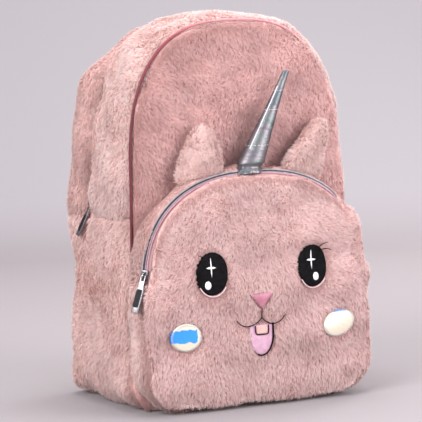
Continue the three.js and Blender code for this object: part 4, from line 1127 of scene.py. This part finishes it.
def horn():
    low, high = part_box("horn")
    turns, count = 96, 40
    foot = Vector((low.x + 0.0125, (low.y + high.y) / 2 - 0.004, low.z - 0.006))
    tall = high.z - low.z + 0.005
    lean = (high.x - 0.004 - foot.x) / tall
    verts, faces = [], []
    r = np.random.default_rng(5)
    gathers = r.uniform(0, 2 * math.pi, 6)
    for i in range(turns + 1):
        share = i / turns
        for k in range(count):
            angle = 2 * math.pi * k / count
            even = 0.0038 + 0.0128 * (1 - share) ** 1.25
            above = min(1, max(0, (share * tall - 0.012) / 0.012))
            winding = abs(math.sin(math.pi * 4.5 * share ** 0.9 + angle / 2 + 0.6))
            pinch = 0.0006 * above * (1 - min(1, winding / 0.3)) ** 1.5 * (1 - 0.5 * share)
            skirt = max(0, 1 - share * tall / 0.010)
            gather = 0.0016 * skirt * math.sin(9 * angle + gathers[0]) + 0.0007 * skirt * math.sin(17 * angle + gathers[1])
            tuck = 0.0032 * math.exp(-(((share * tall - 0.0065) / 0.0028) ** 2))
            wrinkle = 0.0003 * math.sin(34 * share * 6.28 + 2 * angle + gathers[2]) * math.sin(3 * angle + gathers[3]) * (1 - share)
            radius = even - pinch + gather - tuck + wrinkle
            if i == turns:
                radius *= 0.35
            x = foot.x + share * tall * lean + radius * math.cos(angle)
            y = foot.y + 0.78 * radius * math.sin(angle)
            verts.append((x, y, foot.z + share * tall + 0.0016 * skirt * abs(math.cos(angle)) * -1))
    for i in range(turns):
        for k in range(count):
            n = (k + 1) % count
            faces.append((i * count + k, i * count + n, (i + 1) * count + n, (i + 1) * count + k))
    faces.append(tuple(range(count))[::-1])
    faces.append(tuple(turns * count + k for k in range(count)))
    made = new_object("horn_foil", verts, faces, FOIL)
    settle(made, ["horn"])

    rings = np.array(verts).reshape(turns + 1, count, 3)
    middles = rings.mean(1, keepdims=True)
    proud = middles + (rings - middles) * 1.015
    dashes = []
    for share in HORN_STITCHES:
        row = proud[int(share * turns)]
        for k in range(0, count, 2):
            dashes.append([row[k], row[(k + 1) % count]])
    span = range(int(0.24 * turns), int(0.86 * turns))
    seam = [proud[i, HORN_SEAM] + (proud[i, HORN_SEAM + 1] - proud[i, HORN_SEAM]) * 0.45 * (i % 2) for i in span]
    pieces = [tube("stitch", dash, 0.00024, WHITE, 4) for dash in dashes]
    pieces.append(tube("seam", seam, 0.0005, WHITE, 5))
    settle(join("horn_stitches", pieces), ())


horn()


# Embroidery

def dome_patch(name, outline, middle, material, lift=FACE_PATCH_LIFT, puff=0.0008, rings=8, nodes=()):
    """A raised patch on the face: an outline in x and z, pulled down into the pile at its edge."""
    outline = np.asarray(outline, float)
    middle = np.asarray(middle, float)
    verts, faces = [], []
    count = len(outline)
    shares = [(k + 1) / rings for k in range(rings)]
    verts.append((middle[0], face_y(*middle) - lift - puff, middle[1]))
    for share in shares:
        for q in outline:
            x, z = middle + (q - middle) * share
            rise = lift + puff * (1 - share**4)
            verts.append((x, face_y(x, z) - rise, z))
    for q in outline:
        x, z = middle + (q - middle) * 1.01
        verts.append((x, face_y(x, z) + 0.0005, z))
    last = rings
    for k in range(count):
        n = (k + 1) % count
        faces.append((0, 1 + k, 1 + n))
        for i in range(last):
            a, b = 1 + i * count, 1 + (i + 1) * count
            faces.append((a + k, b + k, b + n, a + n))
    faces.append(tuple(1 + last * count + k for k in range(count))[::-1])
    made = new_object(name, verts, faces, material)
    face_out(made)
    return settle(made, nodes)


def oval(x, z, rx, rz, count=40, rough=0.0, seed=1, turn=0.0):
    """An ellipse, ragged on its -X side and turned clockwise seen from the front."""
    r = np.random.default_rng(seed)
    angles = np.linspace(0, 2 * math.pi, count, endpoint=False)
    frayed = np.clip(-np.cos(angles) * 1.4 - 0.2, 0.12, 1)
    ragged = 1 + rough * frayed * r.uniform(-1, 1, count)
    u, v = rx * ragged * np.cos(angles), rz * ragged * np.sin(angles)
    c, d = math.cos(turn), math.sin(turn)
    return np.stack([x + u * c + v * d, z - u * d + v * c], 1)


def stitch_line(name, points, radius, material, lift, taper=0.0):
    dense = []
    for (ax, az), (bx, bz) in zip(points[:-1], points[1:]):
        steps = max(2, int(math.hypot(bx - ax, bz - az) / 0.0015))
        dense += [(ax + (bx - ax) * t / steps, az + (bz - az) * t / steps) for t in range(steps)]
    dense.append(points[-1])
    dense = np.array(dense)
    for _ in range(4):
        dense[1:-1] = (dense[:-2] + 2 * dense[1:-1] + dense[2:]) / 4
    line = [(x, face_y(x, z) - lift, z) for x, z in dense]
    radii = radius * (1 - taper * np.linspace(0, 1, len(line)))
    made = tube(name, line, radii, material, 6)
    return settle(made, ())


EYE_TURN = {"left": 7, "right": 1}
LIGHTS_SHIFT = Vector((-0.0019, 0, 0.0014))

for side, sign in (("left", -1), ("right", 1)):
    place, extent = middle_of(f"eye_{side}")
    rx, rz = extent.x / 2 * 1.04, extent.z / 2 - 0.001
    place.z += 0.001
    turn = math.radians(EYE_TURN[side])
    dome_patch(
        f"eye_{side}_satin",
        oval(place.x, place.z, rx, rz, 110, 0.05, 40 + sign, turn),
        (place.x, place.z),
        BLACK,
        nodes=[f"eye_{side}"],
    )
    star_place, star_size = middle_of(f"eye_star_{side}")
    star_place += LIGHTS_SHIFT
    star = []
    for k in range(32):
        angle = 2 * math.pi * k / 32
        near = abs((k % 8) / 8 - 0.5) * 2
        reach = 0.17 + 0.83 * near**3.0
        star.append((star_place.x + star_size.x / 2 * reach * math.cos(angle), star_place.z + star_size.z / 2 * reach * math.sin(angle)))
    dome_patch(f"eye_{side}_star", star, (star_place.x, star_place.z), WHITE, 0.0047, 0.0003, 3, [f"eye_star_{side}"])
    glint_place, glint_size = middle_of(f"eye_glint_{side}")
    glint_place += LIGHTS_SHIFT
    dome_patch(
        f"eye_{side}_glint",
        oval(glint_place.x, glint_place.z, glint_size.x / 2, glint_size.z / 2, 20),
        (glint_place.x, glint_place.z),
        WHITE,
        0.0047,
        0.0004,
        3,
        [f"eye_glint_{side}"],
    )
    rim = [
        (place.x + (rx + 0.0004) * math.cos(t), place.z + (rz + 0.0013) * math.sin(t))
        for t in np.linspace(math.radians(215), math.radians(322), 24)
    ]
    stitch_line(f"eye_{side}_rim", rim, 0.0006, RIM, 0.0036)
    lashes = ((66, 48, 0.012), (50, 22, 0.0115)) if side == "right" else ((52, 60, 0.006),)
    for k, (start, way, long) in enumerate(lashes):
        start, way = math.radians(start), math.radians(way)
        x0 = place.x + sign * rx * 0.97 * math.cos(start)
        z0 = place.z + rz * 0.97 * math.sin(start)
        line = [
            (x0 + sign * long * t * math.cos(way - 0.5 * t), z0 + long * t * math.sin(way - 0.5 * t))
            for t in (0, 0.33, 0.66, 1)
        ]
        stitch_line(f"eye_{side}_lash_{k + 1}", line, 0.0006, BLACK, 0.0062 if sign > 0 else 0.0045, taper=0.6)

for key, line in MOUTH.items():
    stitch_line(f"mouth_{key}", line, 0.0005, BLACK, 0.0042)

nx, nz, nw, nh = NOSE_PLACE.x - 0.001, NOSE_PLACE.z, NOSE_SIZE.x / 2, NOSE_SIZE.z / 2
corners = np.array([(nx + nw, nz + nh + 0.0006), (nx - nw, nz + nh - 0.0006), (nx, nz - nh)])
nose = []
for k in range(3):
    for t in np.linspace(0, 1, 8, endpoint=False):
        nose.append(corners[k] * (1 - t) + corners[(k + 1) % 3] * t)
dome_patch("nose_satin", np.array(nose), (nx, nz + nh * 0.3), ROSE, 0.0044, 0.0012, 8, ["nose"])

tx, tz, tw, th = TONGUE_PLACE.x - 0.0018, TONGUE_PLACE.z - 0.0006, TONGUE_SIZE.x / 2 * 0.97, TONGUE_SIZE.z / 2
tongue = [(tx + tw, tz + th)] + [(tx + tw * (1 - 2 * t), tz + th) for t in (0.25, 0.5, 0.75)] + [(tx - tw, tz + th)]
tongue += [(tx - tw * math.cos(t), tz + th * 0.35 - th * 1.35 * math.sin(t)) for t in np.linspace(0, math.pi, 22)]
dome_patch("tongue_satin", np.array(tongue), (tx, tz), TONGUE, 0.0036, 0.0008, 8, ["tongue"])
outline = [
    (tx + (tw + 0.0004) * math.cos(t), tz + th * 0.35 - (th * 1.35 + 0.0004) * math.sin(t))
    for t in np.linspace(0, 0.62 * math.pi, 22)
]
stitch_line("tongue_outline", [(tx + tw + 0.0004, tz + th + 0.0015)] + outline, 0.00095, BLACK, 0.0042, taper=0.4)
bite = [(tx - 0.0075, tz + th), (tx - 0.0075, tz + th - 0.0095), (tx + 0.0075, tz + th - 0.0095), (tx + 0.0075, tz + th)]
dome_patch(
    "tooth_plush",
    np.array([(tx - 0.0072, tz + th - 0.0005), (tx - 0.0072, tz + th - 0.009), (tx + 0.0072, tz + th - 0.009), (tx + 0.0072, tz + th - 0.0005)]),
    (tx, tz + th - 0.0048),
    TOOTH,
    0.0047,
    0.0004,
    3,
    (),
)
stitch_line("tooth_outline", bite, 0.0006, BLACK, 0.0052)

# Width and height as shares of the CAD patch, and the turn in degrees, clockwise
CHEEK_FIT = {"left": (0.97, 1.0, 0), "right": (1.12, 0.93, -14)}

for side in ("left", "right"):
    place, extent = middle_of(f"cheek_{side}")
    rx, rz = extent.x / 2 * CHEEK_FIT[side][0], extent.z / 2 * CHEEK_FIT[side][1]
    turn = math.radians(CHEEK_FIT[side][2])
    dome_patch(
        f"cheek_{side}_film",
        oval(place.x, place.z, rx, rz, 44, turn=turn),
        (place.x, place.z),
        cheek_material(side),
        0.0036,
        0.0005,
        8,
        [f"cheek_{side}"],
    )
    zigzag = []
    inner = oval(place.x, place.z, rx * 0.88, rz * 0.88, 92, turn=turn)
    outer = oval(place.x, place.z, rx * 1.03, rz * 1.03, 92, turn=turn)
    for k in range(93):
        x, z = (outer if k % 2 else inner)[k % 92]
        zigzag.append((x, face_y(x, z) - 0.0044, z))
    settle(tube(f"cheek_{side}_stitch", zigzag, 0.00028, WHITE, 4), ())


# Plain pieces

def plain(node, name, material, levels=1):
    piece = copy_node(node, name, material, levels=levels)
    settle(piece, [node])
    return piece


tape = plain("main_zip", "main_zip_tape", LINING, 0)
set_coords(tape, moved_forward(coords(tape)))
for side in ("left", "right"):
    plain(f"strap_{side}", f"strap_{side}_pad", STRAP_CLOTH, 2)
    plain(f"strap_web_{side}", f"strap_web_{side}_cloth", WEB, 1)
    lock = copy_node(f"strap_lock_{side}", f"strap_lock_{side}_plastic", LOCK, levels=0)
    edge = lock.modifiers.new("edge", "BEVEL")
    edge.width = 0.0008
    edge.segments = 3
    edge.limit_method = "ANGLE"
    apply_modifiers(lock)
    lock.data.shade_smooth()
    settle(lock, [f"strap_lock_{side}"])
plain("carry_loop", "carry_loop_cloth", WEB, 1)


# Stage and light

def stage():
    s = Shader("stage_paper")
    turn = Matrix.Rotation(math.radians(AZIMUTH), 3, "Z")

    def along(axis, start, end):
        way = s.node("ShaderNodeVectorMath", {0: s.position()}, operation="DOT_PRODUCT")
        way.inputs[1].default_value = turn @ Vector(axis)
        made = s.node("ShaderNodeMapRange", {"Value": way.outputs["Value"]})
        made.inputs["From Min"].default_value = start
        made.inputs["From Max"].default_value = end
        return made.outputs["Result"]

    # The paper's colour carries painted light and shade: darker on the floor near the bag and towards -X, lighter up
    # the wall and towards +X.
    deep = s.ramp(along((0, 1, 0), 0.0, 2.0), [(0.0, (0.325, 0.30, 0.308)), (0.7, (0.345, 0.308, 0.313)), (1.0, (0.425, 0.395, 0.41))])
    sides = s.ramp(along((1, 0, 0), -0.6, 0.6), [(0.0, (0.88, 0.88, 0.88)), (1.0, (0.95, 0.95, 0.95))])
    color = s.mix(1.0, deep, sides, "MULTIPLY")
    s.set(Base_Color=color, Roughness=0.9, Specular_IOR_Level=0.1)
    verts, faces = [], []
    wide, count = 6.0, 24
    profile = [(-4.0, 0.0), (1.6, 0.0)]
    profile += [(1.6 + 1.2 * math.sin(t), 1.2 - 1.2 * math.cos(t)) for t in np.linspace(0.1, math.pi / 2, count)]
    profile += [(2.8, 5.0)]
    for y, z in profile:
        for x in (-wide, wide):
            p = turn @ Vector((x, y, z))
            verts.append((p.x, p.y, p.z))
    for i in range(len(profile) - 1):
        faces.append((2 * i, 2 * i + 1, 2 * i + 3, 2 * i + 2))
    floor = new_object("stage_paper", verts, faces, s.material)


def light(name, place, aim, size, power, color):
    data = bpy.data.lights.new(name, "AREA")
    data.energy = power
    data.color = color
    data.shape = "DISK"
    data.size = size
    lamp = bpy.data.objects.new(name, data)
    bpy.context.scene.collection.objects.link(lamp)
    lamp.location = place
    lamp.rotation_mode = "QUATERNION"
    lamp.rotation_quaternion = (Vector(place) - Vector(aim)).to_track_quat("Z", "Y")


stage()
world = bpy.data.worlds.new("studio")
world.use_nodes = True
world.node_tree.nodes["Background"].inputs["Color"].default_value = (0.93, 0.92, 1.0, 1)
world.node_tree.nodes["Background"].inputs["Strength"].default_value = 1.1
bpy.context.scene.world = world
bpy.context.scene.view_settings.view_transform = "Standard"
light("key", (-2.1, -1.1, 1.25), (0, 0, 0.2), 1.8, 78, (1.0, 0.98, 0.97))
light("fill", (1.6, -2.0, 0.95), (0, 0, 0.2), 1.8, 66, (1.0, 0.98, 0.98))
light("top", (0.1, 0.3, 2.3), (0, 0, 0.2), 1.6, 34, (1.0, 1.0, 1.0))
light("rim", (1.5, 0.7, 1.4), (0.05, 0, 0.3), 0.9, 18, (1.0, 1.0, 1.0))
